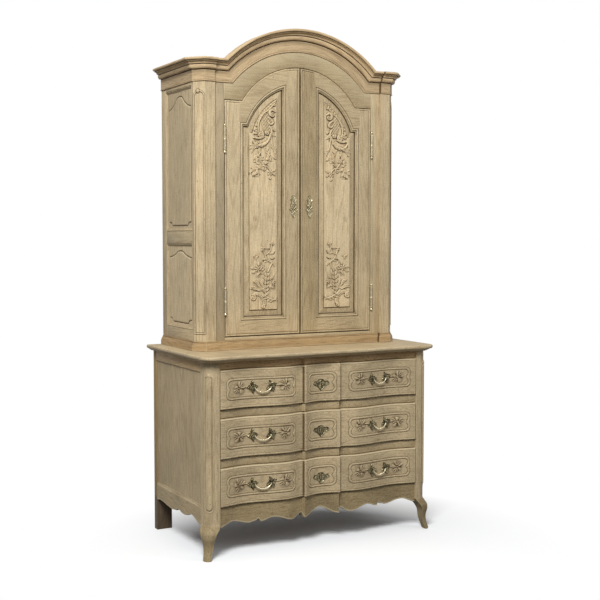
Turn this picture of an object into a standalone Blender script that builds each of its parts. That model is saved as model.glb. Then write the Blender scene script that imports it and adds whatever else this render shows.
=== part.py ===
"""Two-part oak cupboard: an arched two-door press standing on a three-drawer commode.

X runs to the right, Y to the back and Z up. The origin is under the middle of the part, on the floor.
Everything is worked out from the driving dimensions below, in metres.
"""
import math

import bmesh
import bpy

CLEAR = 0.0003

# Commode: case and top
COMMODE_HEIGHT = 0.920
TOP_WIDTH = 1.250
TOP_THICK = 0.028
TOP_FRONT_OVERHANG = 0.045
TOP_BACK_OVERHANG = 0.010
TOP_CORNER_ROUND = 0.064
TOP_EDGE_COVE = 0.022
TOP_HOLLOW_IN = 0.014
TOP_CENTRE_IN = 0.009
CASE_WIDTH = 1.188
CASE_DEPTH = 0.650

# Commode: legs, rails, panels
FRONT_POST_WIDTH = 0.064
FRONT_POST_DEPTH = 0.075
FRONT_POST_ROUND = 0.050
LEG_REED_RISE = 0.004
LEG_REED_LOW = 0.226
LEG_REED_HIGH = 0.826
LEG_REED_RUN_OUT = 0.016
FOOT_HEIGHT = 0.155
REAR_LEG_WIDTH = 0.078
REAR_LEG_DEPTH = 0.037
SIDE_RAIL_HEIGHT = 0.047
SIDE_RAIL_THICK = 0.024
SIDE_PANEL_BOTTOM = 0.240
SIDE_EDGE_MOULD = 0.010
SIDE_PANEL_RECESS = 0.005
SIDE_PANEL_THICK = 0.014
BACK_THICK = 0.014
BACK_BOTTOM = 0.200
SIDE_APRON_BOTTOM = 0.146
APRON_LINE = 0.136

# Commode: drawer stack, from the top down
TOP_RAIL_HEIGHT = 0.035
TOP_RAIL_DEPTH = 0.062
DRAWER_HEIGHTS = {"top": 0.183, "middle": 0.187, "bottom": 0.180}
BLADE_HEIGHT = 0.037
DECK_THICK = 0.018
RAIL_SETBACK = 0.012
APRON_THICK = 0.030
GUIDE_HEIGHT = 0.022

# Crossbow plan of the drawer fronts: how far they stand forward of the legs
BLOCK_HALF = 0.092
BLOCK_RETURN = 0.010
BLOCK_OUT = 0.004
BLOCK_HOLLOW = 0.026
LOBE_START_OUT = -0.012
LOBE_X = 0.190
LOBE_OUT = 0.006
HOLLOW_X = 0.400
HOLLOW_OUT = -0.020

# Drawers
DRAWER_GAP = 0.0025
FRONT_STOCK = 0.048
FRONT_EDGE_ROUND = 0.005
BOX_WALL = 0.012
BOX_BOTTOM = 0.008
BOX_SIDE_GAP = 0.002
BOX_BACK_GAP = 0.012
BOX_TOP_GAP = 0.030

# Drawer brass
PULL_X = 0.3155
PULL_SPAN = 0.090
PULL_DROP = 0.088
ROSETTE_RADIUS = 0.023
ROSETTE_CROWN = 0.0145
ROSETTE_HEIGHT = 0.007
ROSETTE_SINK = 0.004
ROSETTE_LOBE = 0.16
ROSETTE_LEAVES = 5
ROSETTE_SIDES = 20
POST_RADIUS = 0.0055
POST_LENGTH = 0.019
PIVOT_OUT = 0.0135
SOCKET_DEPTH = 0.0045
PIN_RADIUS = 0.0018
PIN_PLAY = 0.0008
PIN_END_PLAY = 0.0006
BAIL_RADIUS = 0.0032
BAIL_DROP = 0.024
BAIL_SQUARENESS = 0.55
BAIL_SWELL = 0.25
BAIL_STEPS = 10
BAIL_SIDES = 8
KEY_PLATE_WIDTH = 0.088
KEY_PLATE_HEIGHT = 0.056
KEY_PLATE_THICK = 0.002
KEY_PLATE_DROP = 0.101

# Cupboard: plan
UPPER_WIDTH = 1.086
UPPER_DEPTH = 0.435
UPPER_BACK_INSET = 0.003
CANT_X = 0.041
CANT_Y = 0.046
POST_FACE_WIDTH = 0.064
POST_SIDE_WIDTH = 0.016
POST_STEP = 0.012
POST_THICK = 0.037
REED_RISE = 0.005
REED_BLOCK = 0.038
REED_RUN_OUT = 0.012
SIDE_FRAME_THICK = 0.025

# Cupboard: heights
BASE_HEIGHT = 0.046
BASE_OUT = 0.012
BASE_TOP_OUT = 0.002
POST_HEIGHT = 1.196
CORNICE_HEIGHT = 0.105
CORNICE_OUT = 0.045
CORNICE_SEAT = 0.018
ARCH_DROP = 0.298
ARCH_RADIUS = 0.466
ROOF_THICK = 0.010
UPPER_BACK_THICK = 0.014
SHELF_THICK = 0.020
BEARER_DEPTH = 0.016
BEARER_HEIGHT = 0.024

# Cupboard: side frames and panels
BOTTOM_RAIL = 0.050
MID_RAIL_LOW = 0.453
MID_RAIL_HEIGHT = 0.058
TOP_RAIL = 0.014
REAR_STILE = 0.056
SIDE_FRAME_MOULD = 0.008
SIDE_FRAME_MOULD_DEPTH = 0.006
PANEL_RECESS = 0.007
PANEL_THICK = 0.012
FIELD_INSET = 0.030
FIELD_BEVEL = 0.010
FIELD_RISE = 0.003
FIELD_CORNER = 0.030
FIELD_CROWN = 0.035
FIELD_STEPS = 4

# Doors
DOOR_HALF = 0.400
DOOR_GAP = 0.003
DOOR_THICK = 0.026
DOOR_RISE = 0.016
DOOR_SHOULDER_DROP = 0.077
DOOR_ARCH_RADIUS = 0.395
LOCK_STILE = 0.074
HINGE_STILE = 0.068
DOOR_RAIL = 0.080
MOULD_WIDTH = 0.025
MOULD_DEPTH = 0.008
PANEL_ARCH_RADIUS = 0.3275
PANEL_SHOULDER_DROP = 0.162
GROOVE_DEPTH = 0.008
GROOVE_FRONT = 0.010
GROOVE_WIDTH = 0.0072
DOOR_BEVEL = 0.028
DOOR_FIELD_SINK = 0.003
DOOR_FIELD_STEP = 0.003

# Door brass
HINGE_LENGTH = 0.136
HINGE_HEIGHTS = {"lower": 0.183, "upper": 0.940}
BARREL_RADIUS = 0.006
HINGE_PIN_RADIUS = 0.0028
HINGE_PIN_PLAY = 0.0006
FINIAL_LENGTH = 0.016
LEAF_THICK = 0.0014
LEAF_DEPTH = 0.018
DOOR_PLATE_HEIGHT = 0.106
DOOR_PLATE_WIDTH = 0.034
DOOR_PLATE_THICK = 0.002
DOOR_PLATE_RISE = 0.630
LOCK_PLATE_INSET = 0.045
KEYHOLE_RADIUS = 0.003
KEYHOLE_LENGTH = 0.012
KEYHOLE_STEPS = 8

# Places that follow from the driving dimensions
HALF = CASE_WIDTH / 2
OPEN_HALF = HALF - FRONT_POST_WIDTH
TOP_DEPTH = TOP_BACK_OVERHANG + CASE_DEPTH + TOP_FRONT_OVERHANG
TOP_BACK = TOP_DEPTH / 2
CASE_BACK = TOP_BACK - TOP_BACK_OVERHANG
FACE = CASE_BACK - CASE_DEPTH
TOP_UNDER = COMMODE_HEIGHT - TOP_THICK

UPPER_HALF = UPPER_WIDTH / 2
UPPER_BACK = CASE_BACK - UPPER_BACK_INSET
POST_FRONT = UPPER_BACK - UPPER_DEPTH
DOOR_FRONT = POST_FRONT + POST_STEP
CANT_FRONT = UPPER_HALF - CANT_X
POST_INNER = CANT_FRONT - POST_FACE_WIDTH
SIDE_FRONT = POST_FRONT + CANT_Y + POST_SIDE_WIDTH
BASE_TOP = COMMODE_HEIGHT + BASE_HEIGHT
CORNICE_BOTTOM = BASE_TOP + POST_HEIGHT
ARCH_Z = CORNICE_BOTTOM - ARCH_DROP
KINK_X = math.sqrt(ARCH_RADIUS**2 - ARCH_DROP**2)
DOOR_BOTTOM = BASE_TOP + DOOR_RISE
SHELF_Z = BASE_TOP + MID_RAIL_LOW + MID_RAIL_HEIGHT
HINGE_X = DOOR_HALF + DOOR_GAP / 2
HINGE_Y = DOOR_FRONT - BARREL_RADIUS - CLEAR

FINISHES = {
    "oak": ((0.46, 0.33, 0.18, 1), 0.62, 0.0),
    "dark_oak": ((0.05, 0.035, 0.024, 1), 0.75, 0.0),
    "brass": ((0.42, 0.36, 0.22, 1), 0.38, 1.0),
}
ARC_STEPS = 16
CORNER_STEPS = 6


def finish_material(name, finish):
    """One Principled material for one piece."""
    colour, roughness, metallic = FINISHES[finish]
    material = bpy.data.materials.new(f"{name}_{finish}")
    material.use_nodes = True
    shader = material.node_tree.nodes["Principled BSDF"]
    shader.inputs["Base Color"].default_value = colour
    shader.inputs["Roughness"].default_value = roughness
    shader.inputs["Metallic"].default_value = metallic
    return material


def solid(name, shape, finish="oak", parent=None, pivot=(0, 0, 0)):
    """A closed piece from (points, faces), with its origin at the pivot and its faces turned outwards."""
    points, faces = shape
    local = [tuple(c - o for c, o in zip(point, pivot)) for point in points]
    mesh = bpy.data.meshes.new(name)
    mesh.from_pydata(local, [], faces)
    work = bmesh.new()
    work.from_mesh(mesh)
    bmesh.ops.recalc_face_normals(work, faces=work.faces)
    work.to_mesh(mesh)
    work.free()
    mesh.shade_smooth()
    mesh.set_sharp_from_angle(angle=math.radians(30))
    piece = bpy.data.objects.new(name, mesh)
    bpy.context.collection.objects.link(piece)
    mesh.materials.append(finish_material(name, finish))
    home = parent["home"] if parent else (0, 0, 0)
    piece.location = tuple(p - h for p, h in zip(pivot, home))
    if parent:
        piece.parent = parent
    return piece


def joint_empty(name, home):
    """An empty on a joint's axis, which carries the pieces that move together."""
    empty = bpy.data.objects.new(name, None)
    bpy.context.collection.objects.link(empty)
    empty.location = home
    empty["home"] = home
    return empty


def loft(loops):
    """A solid through matched closed loops, with a cap at each end."""
    count = len(loops[0])
    points = [point for loop in loops for point in loop]
    faces = [tuple(range(count))]
    for k in range(len(loops) - 1):
        for i in range(count):
            j = (i + 1) % count
            faces.append((k * count + i, k * count + j, (k + 1) * count + j, (k + 1) * count + i))
    faces.append(tuple((len(loops) - 1) * count + i for i in range(count)))
    return points, faces


def ring(loops):
    """A frame-shaped solid: matched loops in a cycle, the last joined to the first."""
    count = len(loops[0])
    points = [point for loop in loops for point in loop]
    faces = []
    for k in range(len(loops)):
        n = (k + 1) % len(loops)
        for i in range(count):
            j = (i + 1) % count
            faces.append((k * count + i, k * count + j, n * count + j, n * count + i))
    return points, faces


def block(low, high):
    """A rectangular board between two corners."""
    return loft([[(low[0], low[1], z), (high[0], low[1], z), (high[0], high[1], z), (low[0], high[1], z)]
                 for z in (low[2], high[2])])


def upright(outline, low, high):
    """A plan outline raised from one height to another."""
    return loft([[(x, y, z) for x, y in outline] for z in (low, high)])


def facing(outline, front, back):
    """A front-view outline given its depth."""
    return loft([[(x, y, z) for x, z in outline] for y in (front, back)])


def combine(piece, tool, operation):
    """Apply a Boolean with another object, which is then removed."""
    modifier = piece.modifiers.new("combine", "BOOLEAN")
    modifier.operation = operation
    modifier.object = tool
    modifier.solver = "EXACT"
    evaluated = piece.evaluated_get(bpy.context.evaluated_depsgraph_get())
    mesh = bpy.data.meshes.new_from_object(evaluated)
    piece.modifiers.clear()
    piece.data = mesh
    bpy.data.objects.remove(tool)


def add(piece, shape):
    combine(piece, solid("addition", shape), "UNION")


def cut(piece, shape):
    combine(piece, solid("cutter", shape), "DIFFERENCE")


def ease(knots, t):
    """A curve through knots (t, value, kind): level at each knot, or a straight line where kind is line."""
    for (t0, v0, kind), (t1, v1, _) in zip(knots, knots[1:]):
        if t <= t1:
            u = max(0.0, (t - t0) / (t1 - t0))
            if kind == "ease":
                u = (1 - math.cos(math.pi * u)) / 2
            return v0 + (v1 - v0) * u
    return knots[-1][1]


def spread(knots, steps):
    """Stations along the knots: more on curved stretches, only the ends of straight ones."""
    stations = [knots[0][0]]
    for (t0, _, kind), (t1, _, _) in zip(knots, knots[1:]):
        count = steps if kind == "ease" else 1
        stations += [t0 + (t1 - t0) * (i + 1) / count for i in range(count)]
    return stations


def mirrored(stations):
    """The same stations on both sides of the middle."""
    return [-x for x in reversed(stations) if x > 0] + stations


# Crossbow front
FRONT_KNOTS = [
    (BLOCK_HALF, BLOCK_OUT, "line"),
    (BLOCK_HALF + BLOCK_RETURN, LOBE_START_OUT, "ease"),
    (LOBE_X, LOBE_OUT, "ease"),
    (HOLLOW_X, HOLLOW_OUT, "ease"),
    (OPEN_HALF, 0.0, "ease"),
]
BLOCK_STEPS = 5
LOBE_STEPS = 6


def front_out(x):
    """How far the drawer fronts stand forward of the legs: a hollow block between two serpentine lobes."""
    a = abs(x)
    if a <= BLOCK_HALF:
        return BLOCK_OUT - BLOCK_HOLLOW * (1 - (a / BLOCK_HALF) ** 2)
    return ease(FRONT_KNOTS, a)


BLOCK_STATIONS = [BLOCK_HALF * i / BLOCK_STEPS for i in range(BLOCK_STEPS)]
FRONT_STATIONS = mirrored(BLOCK_STATIONS + spread(FRONT_KNOTS, LOBE_STEPS))


def front_y(x):
    """The drawer face on its facets, so that plates on it follow the same flats."""
    for a, b in zip(FRONT_STATIONS, FRONT_STATIONS[1:]):
        if a <= x <= b:
            u = (x - a) / (b - a)
            return FACE - front_out(a) * (1 - u) - front_out(b) * u
    return FACE


def bowed_rail(half, back, low, high, setback):
    """A rail that follows the drawer fronts, cut off at half its length, with a straight back."""
    stations = [-half] + [x for x in FRONT_STATIONS if abs(x) < half] + [half]
    loops = []
    for x in stations:
        front = front_y(x) + setback
        loops.append([(x, front, low), (x, front, high), (x, back, high), (x, back, low)])
    return loft(loops)


def drawer_levels():
    """Bottom and top height of each drawer opening."""
    levels = {}
    top = TOP_UNDER - TOP_RAIL_HEIGHT
    for name, height in DRAWER_HEIGHTS.items():
        levels[name] = (top - height, top)
        top -= height + BLADE_HEIGHT
    return levels


LEVELS = drawer_levels()
STACK_BOTTOM = LEVELS["bottom"][0]


# Commode top
def top_outline(inset):
    """Plan of the top: straight back and sides, round front corners, gently serpentine front edge."""
    half = TOP_WIDTH / 2 - inset
    front = -TOP_BACK + inset
    knots = [
        (0.0, TOP_CENTRE_IN, "ease"),
        (LOBE_X, 0.0, "ease"),
        (HOLLOW_X, TOP_HOLLOW_IN, "ease"),
        (half - TOP_CORNER_ROUND, 0.0, "ease"),
    ]
    edge = [(x, front + ease(knots, abs(x))) for x in mirrored(spread(knots, LOBE_STEPS))]
    corner = []
    for i in range(1, CORNER_STEPS + 1):
        angle = math.pi / 2 * i / CORNER_STEPS
        x = half - TOP_CORNER_ROUND + TOP_CORNER_ROUND * math.sin(angle)
        corner.append((x, front + TOP_CORNER_ROUND - TOP_CORNER_ROUND * math.cos(angle)))
    right = edge + corner + [(half, TOP_BACK)]
    left = [(-x, y) for x, y in reversed(corner)]
    return [(-half, TOP_BACK)] + left + right


def build_top():
    """Thumbnail edge: a cove under a rounded nose, as stacked outlines."""
    levels = [
        (TOP_EDGE_COVE, 0.0),
        (TOP_EDGE_COVE * 0.80, 0.12),
        (TOP_EDGE_COVE * 0.42, 0.32),
        (TOP_EDGE_COVE * 0.10, 0.46),
        (0.0, 0.60),
        (0.0, 0.78),
        (TOP_EDGE_COVE * 0.06, 0.93),
        (TOP_EDGE_COVE * 0.20, 1.0),
    ]
    solid("commode_top", loft([
        [(x, y, TOP_UNDER + TOP_THICK * rise) for x, y in top_outline(inset)] for inset, rise in levels]))


# Commode legs and sides
FOOT_LEVELS = [
    (1.00, 1.00, 0.000),
    (0.87, 0.97, 0.018),
    (0.75, 0.84, 0.026),
    (0.64, 0.71, 0.027),
    (0.53, 0.61, 0.025),
    (0.40, 0.53, 0.024),
    (0.25, 0.47, 0.027),
    (0.10, 0.44, 0.032),
    (0.00, 0.42, 0.034),
]


REED_SHAPE = (0.0, 0.0, 0.7, 1.0, 0.7, 0.0, 0.0)


def leg_section(side, z, scale, kick, reed=0.0):
    """Plan of a front leg: square inside, round and reeded outside, scaled about its middle and kicked out."""
    outline = [(0.0, 0.0)]
    for i, rise in enumerate(REED_SHAPE):
        angle = math.pi / 2 * i / (len(REED_SHAPE) - 1)
        radius = FRONT_POST_ROUND + reed * rise
        u = FRONT_POST_WIDTH - FRONT_POST_ROUND + radius * math.sin(angle)
        outline.append((u, FRONT_POST_ROUND - radius * math.cos(angle)))
    outline += [(FRONT_POST_WIDTH, FRONT_POST_DEPTH), (0.0, FRONT_POST_DEPTH)]
    section = []
    for u, v in outline:
        u = FRONT_POST_WIDTH / 2 + (u - FRONT_POST_WIDTH / 2) * scale + kick
        v = FRONT_POST_DEPTH / 2 + (v - FRONT_POST_DEPTH / 2) * scale - kick
        section.append((side * (OPEN_HALF + u), FACE + v, z))
    return section


def build_front_leg(name, side):
    levels = [
        (TOP_UNDER - CLEAR, 1.0, 0.0),
        (LEG_REED_HIGH, 1.0, 0.0),
        (LEG_REED_HIGH - LEG_REED_RUN_OUT, 1.0, 0.0, LEG_REED_RISE),
        (LEG_REED_LOW + LEG_REED_RUN_OUT, 1.0, 0.0, LEG_REED_RISE),
        (LEG_REED_LOW, 1.0, 0.0),
    ]
    levels += [(FOOT_HEIGHT * share, scale, kick) for share, scale, kick in FOOT_LEVELS]
    solid(f"front_leg_{name}", loft([leg_section(side, *level) for level in levels]))


SIDE_SCALLOP = [
    (0.00, 0.000, "ease"),
    (0.21, 0.026, "ease"),
    (0.35, 0.007, "line"),
    (0.40, 0.007, "ease"),
    (0.48, 0.015, "line"),
    (0.52, 0.016, "line"),
    (0.55, 0.005, "ease"),
    (0.64, 0.000, "ease"),
    (0.93, 0.012, "ease"),
    (1.00, 0.006, "ease"),
]
SCALLOP_STEPS = 5


def build_commode_side(name, side):
    """Rear leg, rail, panel and scalloped apron of one side."""
    outer = side * HALF
    leg_front = CASE_BACK - REAR_LEG_DEPTH
    solid(f"rear_leg_{name}", block(
        (outer - side * REAR_LEG_WIDTH, leg_front, 0.0),
        (outer, CASE_BACK, TOP_UNDER - CLEAR)), "dark_oak")
    front = FACE + FRONT_POST_DEPTH + CLEAR
    back = leg_front - CLEAR
    inner = outer - side * SIDE_RAIL_THICK
    panel_top = TOP_UNDER - SIDE_RAIL_HEIGHT
    solid(f"commode_side_rail_{name}", block((inner, front, panel_top), (outer, back, TOP_UNDER - CLEAR)))
    skin = outer - side * SIDE_PANEL_RECESS
    panel_low = SIDE_PANEL_BOTTOM + CLEAR
    solid(f"commode_side_panel_{name}", block(
        (skin - side * SIDE_PANEL_THICK, front, panel_low), (skin, back, panel_top - CLEAR)))
    knots = [(front + (back - front) * t, SIDE_APRON_BOTTOM + rise, kind) for t, rise, kind in SIDE_SCALLOP]
    edge = [(y, ease(knots, y)) for y in spread(knots, SCALLOP_STEPS)]
    top = SIDE_PANEL_BOTTOM
    solid(f"commode_side_apron_{name}", loft([
        [(inner, y, z), (outer, y, z), (outer, y, top - SIDE_EDGE_MOULD), (skin, y, top), (inner, y, top)]
        for y, z in edge]))


def build_commode_back():
    half = HALF - REAR_LEG_WIDTH - CLEAR
    front = CASE_BACK - BACK_THICK
    solid("commode_back", block((-half, front, BACK_BOTTOM), (half, CASE_BACK, TOP_UNDER - CLEAR)))


# Rails, decks and apron behind and under the drawers
APRON_KNOTS = [
    (0.000, 0.034, "ease"),
    (BLOCK_HALF, 0.000, "line"),
    (BLOCK_HALF + BLOCK_RETURN, 0.023, "ease"),
    (0.155, 0.000, "ease"),
    (0.255, 0.023, "ease"),
    (0.307, 0.007, "line"),
    (0.319, 0.024, "line"),
    (0.330, 0.012, "ease"),
    (0.365, 0.006, "ease"),
    (0.460, 0.024, "ease"),
    (OPEN_HALF - CLEAR, 0.004, "ease"),
]


def build_front_rails():
    half = OPEN_HALF - CLEAR
    solid("front_top_rail", bowed_rail(
        half, FACE + TOP_RAIL_DEPTH, TOP_UNDER - TOP_RAIL_HEIGHT, TOP_UNDER - CLEAR, RAIL_SETBACK))
    back = FACE + RAIL_SETBACK - min(HOLLOW_OUT, BLOCK_OUT - BLOCK_HOLLOW) + APRON_THICK
    stations = sorted(set(mirrored(spread(APRON_KNOTS, SCALLOP_STEPS)))
                      | {x for x in FRONT_STATIONS if abs(x) < half})
    top = STACK_BOTTOM - CLEAR
    loops = []
    for x in stations:
        front = front_y(x) + RAIL_SETBACK
        low = APRON_LINE + ease(APRON_KNOTS, abs(x))
        loops.append([(x, front, low), (x, front, top), (x, back, top), (x, back, low)])
    solid("front_apron", loft(loops))
    return back


def deck_outline(front_edge, wide):
    """Plan of a deck: its front edge, notched round the legs and reaching the sides between them."""
    narrow = OPEN_HALF - CLEAR
    rear = HALF - REAR_LEG_WIDTH - CLEAR
    leg_back = FACE + FRONT_POST_DEPTH + CLEAR
    leg_front = CASE_BACK - REAR_LEG_DEPTH - CLEAR
    back = CASE_BACK - BACK_THICK - CLEAR
    right = [(narrow, leg_back), (wide, leg_back), (wide, leg_front), (rear, leg_front), (rear, back)]
    return front_edge + right + [(-x, y) for x, y in reversed(right)]


def build_deck(name, low, high, front_edge, side_thick):
    """A board that a drawer runs on, between sides of one thickness, with a guide strip along each."""
    wide = HALF - side_thick - CLEAR
    deck = solid(name, upright(deck_outline(front_edge, wide), low, high))
    front = FACE + FRONT_POST_DEPTH + CLEAR
    back = CASE_BACK - REAR_LEG_DEPTH - CLEAR
    sink = min(GUIDE_HEIGHT, high - low) / 2
    for side in (-1, 1):
        add(deck, block((side * OPEN_HALF, front, high - sink), (side * wide, back, high + GUIDE_HEIGHT)))


def build_decks(apron_back):
    half = OPEN_HALF - CLEAR
    stations = [-half] + [x for x in FRONT_STATIONS if abs(x) < half] + [half]
    blade = [(x, front_y(x) + RAIL_SETBACK) for x in stations]
    side_thick = SIDE_PANEL_RECESS + SIDE_PANEL_THICK
    for name, above in (("upper", "top"), ("lower", "middle")):
        high = LEVELS[above][0]
        build_deck(f"drawer_divider_{name}", high - BLADE_HEIGHT, high, blade, side_thick)
    back = apron_back + CLEAR
    build_deck("bottom_board", STACK_BOTTOM - DECK_THICK, STACK_BOTTOM, [(-half, back), (half, back)],
               max(SIDE_RAIL_THICK, side_thick))


# Drawers and their brass
def rosette(x, y, z):
    """A leafy boss with a post: five lobes on a dome that is let into the front, then a plain round stub."""
    rings = [
        (-ROSETTE_SINK, ROSETTE_RADIUS, ROSETTE_LOBE),
        (ROSETTE_HEIGHT * 0.45, ROSETTE_RADIUS, ROSETTE_LOBE),
        (ROSETTE_HEIGHT, ROSETTE_CROWN, ROSETTE_LOBE / 2),
        (ROSETTE_HEIGHT + CLEAR, POST_RADIUS, 0.0),
        (POST_LENGTH, POST_RADIUS, 0.0),
    ]
    loops = []
    for out, radius, lobe in rings:
        loop = []
        for i in range(ROSETTE_SIDES):
            angle = math.tau * i / ROSETTE_SIDES
            reach = radius * (1 + lobe * math.cos(ROSETTE_LEAVES * angle + math.pi / 2))
            loop.append((x + reach * math.cos(angle), y - out, z + reach * math.sin(angle)))
        loops.append(loop)
    return loft(loops)


def rod(start, end, radius, sides=10):
    """A straight round rod between two points that lie at one height."""
    length = math.dist(start, end)
    ux = (end[0] - start[0]) / length
    uy = (end[1] - start[1]) / length
    loops = []
    for point in (start, end):
        loop = []
        for i in range(sides):
            angle = math.tau * (i + 0.5) / sides
            across = radius * math.cos(angle)
            up = radius * math.sin(angle)
            loop.append((point[0] - uy * across, point[1] + ux * across, point[2] + up))
        loops.append(loop)
    return loft(loops)


def pull_ends(side):
    """The two pivots of a pull, on the bowed drawer face, as (x, y)."""
    middle = side * PULL_X
    return [(x, front_y(x) - PIVOT_OUT) for x in (middle - PULL_SPAN / 2, middle + PULL_SPAN / 2)]


def bail(side, z):
    """A swan-neck bail: a pin into each post, then a tube that drops and swells to a bow."""
    (x0, y0), (x1, y1) = pull_ends(side)
    span = math.dist((x0, y0), (x1, y1))
    ux = (x1 - x0) / span
    uy = (y1 - y0) / span
    pin = POST_RADIUS - SOCKET_DEPTH + PIN_END_PLAY
    shoulder = POST_RADIUS + CLEAR + PIN_END_PLAY
    ends = [(pin, 0.0, PIN_RADIUS), (shoulder, 0.0, PIN_RADIUS), (shoulder + CLEAR, 0.0, BAIL_RADIUS)]
    route = list(ends)
    start = shoulder + BAIL_RADIUS
    for i in range(BAIL_STEPS + 1):
        rise = math.sin(math.pi * i / BAIL_STEPS)
        along = start + (span - 2 * start) * i / BAIL_STEPS
        route.append((along, BAIL_DROP * rise**BAIL_SQUARENESS, BAIL_RADIUS * (1 + BAIL_SWELL * rise**2)))
    route += [(span - along, drop, radius) for along, drop, radius in reversed(ends)]
    loops = []
    for k, (along, drop, radius) in enumerate(route):
        before = route[max(0, k - 1)]
        after = route[min(len(route) - 1, k + 1)]
        length = math.hypot(after[0] - before[0], after[1] - before[1])
        ta = (after[0] - before[0]) / length
        td = (after[1] - before[1]) / length
        if k < len(ends) or k >= len(route) - len(ends):
            ta, td = 1.0, 0.0
        loop = []
        for i in range(BAIL_SIDES):
            angle = math.tau * (i + 0.5) / BAIL_SIDES
            flat = radius * math.cos(angle)
            deep = radius * math.sin(angle)
            a = along + td * flat
            d = drop - ta * flat
            loop.append((x0 + ux * a - uy * deep, y0 + uy * a + ux * deep, z - d))
        loops.append(loop)
    return loft(loops)


def keyhole(x, y, z, depth):
    """A keyhole cutter: a round eye over a slot, through the depth either way."""
    outline = []
    for i in range(KEYHOLE_STEPS + 1):
        angle = math.radians(-60 + 300 * i / KEYHOLE_STEPS)
        outline.append((x + KEYHOLE_RADIUS * math.cos(angle), z + KEYHOLE_RADIUS * math.sin(angle)))
    foot = KEYHOLE_RADIUS / 2
    low = z - KEYHOLE_LENGTH + KEYHOLE_RADIUS
    outline += [(x - foot, low), (x + foot, low)]
    return facing(outline, y - depth, y + depth)


PLATE_STEPS = 8
KEY_PLATE_SHAPE = [
    (0.00, 0.50, 0.50),
    (0.28, 0.36, 0.42),
    (0.55, 0.22, 0.20),
    (0.80, 0.36, -0.02),
    (1.00, 0.20, 0.06),
]


def build_key_plate(name, parent, z):
    """A winged escutcheon that follows the hollow block, with its edges above and below from a table."""
    above = [(t, up, "ease") for t, up, _ in KEY_PLATE_SHAPE]
    below = [(t, down, "ease") for t, _, down in KEY_PLATE_SHAPE]
    loops = []
    for i in range(-PLATE_STEPS, PLATE_STEPS + 1):
        t = i / PLATE_STEPS
        x = KEY_PLATE_WIDTH / 2 * t
        high = z + KEY_PLATE_HEIGHT * ease(above, abs(t))
        low = z - KEY_PLATE_HEIGHT * ease(below, abs(t))
        back = front_y(x) - CLEAR
        front = back - KEY_PLATE_THICK
        loops.append([(x, back, low), (x, front, low), (x, front, high), (x, back, high)])
    plate = solid(f"drawer_escutcheon_{name}", loft(loops), "brass", parent, parent["home"])
    cut(plate, keyhole(0.0, front_y(0.0), z, BLOCK_HOLLOW))


def build_drawer(name, low, high):
    """One drawer: bowed front with its rosettes, box behind it, escutcheon and two bails."""
    home = (0.0, FACE, (low + high) / 2)
    drawer = joint_empty(f"drawer_{name}_slide", home)
    half = OPEN_HALF - DRAWER_GAP
    back = FACE + FRONT_STOCK
    bottom = low + DRAWER_GAP
    top = high - DRAWER_GAP
    soft = FRONT_EDGE_ROUND
    stations = [-half] + [x for x in FRONT_STATIONS if abs(x) < half] + [half]
    front = solid(f"drawer_front_{name}", loft([[
        (x, back, bottom), (x, front_y(x) + soft, bottom), (x, front_y(x), bottom + soft),
        (x, front_y(x), top - soft), (x, front_y(x) + soft, top), (x, back, top)] for x in stations]),
        "oak", drawer, home)
    pull_z = high - PULL_DROP
    for side in (-1, 1):
        ends = pull_ends(side)
        for x, y in ends:
            add(front, rosette(x, y + PIVOT_OUT, pull_z))
        (x0, y0), (x1, y1) = ends
        span = math.dist(ends[0], ends[1])
        ux = (x1 - x0) / span
        uy = (y1 - y0) / span
        for x, y, way in ((x0, y0, 1), (x1, y1, -1)):
            reach = POST_RADIUS - SOCKET_DEPTH
            start = (x + way * ux * reach, y + way * uy * reach, pull_z)
            past = (x + way * ux * POST_RADIUS * 2, y + way * uy * POST_RADIUS * 2, pull_z)
            cut(front, rod(start, past, PIN_RADIUS + PIN_PLAY))
        pivot = ((x0 + x1) / 2, (y0 + y1) / 2, pull_z)
        word = "left" if side < 0 else "right"
        solid(f"bail_{name}_{word}", bail(side, pull_z), "brass", drawer, pivot)
    box_half = OPEN_HALF - BOX_SIDE_GAP
    box_front = back + CLEAR
    box_back = CASE_BACK - max(BACK_THICK, REAR_LEG_DEPTH) - BOX_BACK_GAP
    box_low = low + CLEAR
    box_high = high - BOX_TOP_GAP
    board = block((-box_half, box_front, box_low), (box_half, box_back, box_high))
    box = solid(f"drawer_box_{name}", board, "oak", drawer, home)
    inside = box_half - BOX_WALL
    cut(box, block((-inside, box_front - BOX_WALL, box_low + BOX_BOTTOM),
                   (inside, box_back - BOX_WALL, box_high + BOX_WALL)))
    build_key_plate(name, drawer, high - KEY_PLATE_DROP)


# Cupboard carcass
def case_line():
    """Plan of the cupboard's outer face, from the middle of the front round to the back on the right."""
    return [
        (POST_INNER, DOOR_FRONT),
        (POST_INNER, POST_FRONT),
        (CANT_FRONT, POST_FRONT),
        (UPPER_HALF, POST_FRONT + CANT_Y),
        (UPPER_HALF, UPPER_BACK),
    ]


def mitre(before, after):
    """The offset direction at a corner between two unit normals."""
    share = 1 + before[0] * after[0] + before[1] * after[1]
    return ((before[0] + after[0]) / share, (before[1] + after[1]) / share)


def case_normals():
    """The mitred outward direction at each point of the case line."""
    reach = math.hypot(CANT_X, CANT_Y)
    cant = (CANT_Y / reach, -CANT_X / reach)
    ahead = (0.0, -1.0)
    aside = (1.0, 0.0)
    inward = (-1.0, 0.0)
    step = mitre(ahead, inward)
    return [step, step, mitre(ahead, cant), mitre(cant, aside), aside]


def base_outline(out):
    right = [(x + out * nx, y + out * ny) for (x, y), (nx, ny) in zip(case_line(), case_normals())]
    return [(-x, y) for x, y in reversed(right)] + right


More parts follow.
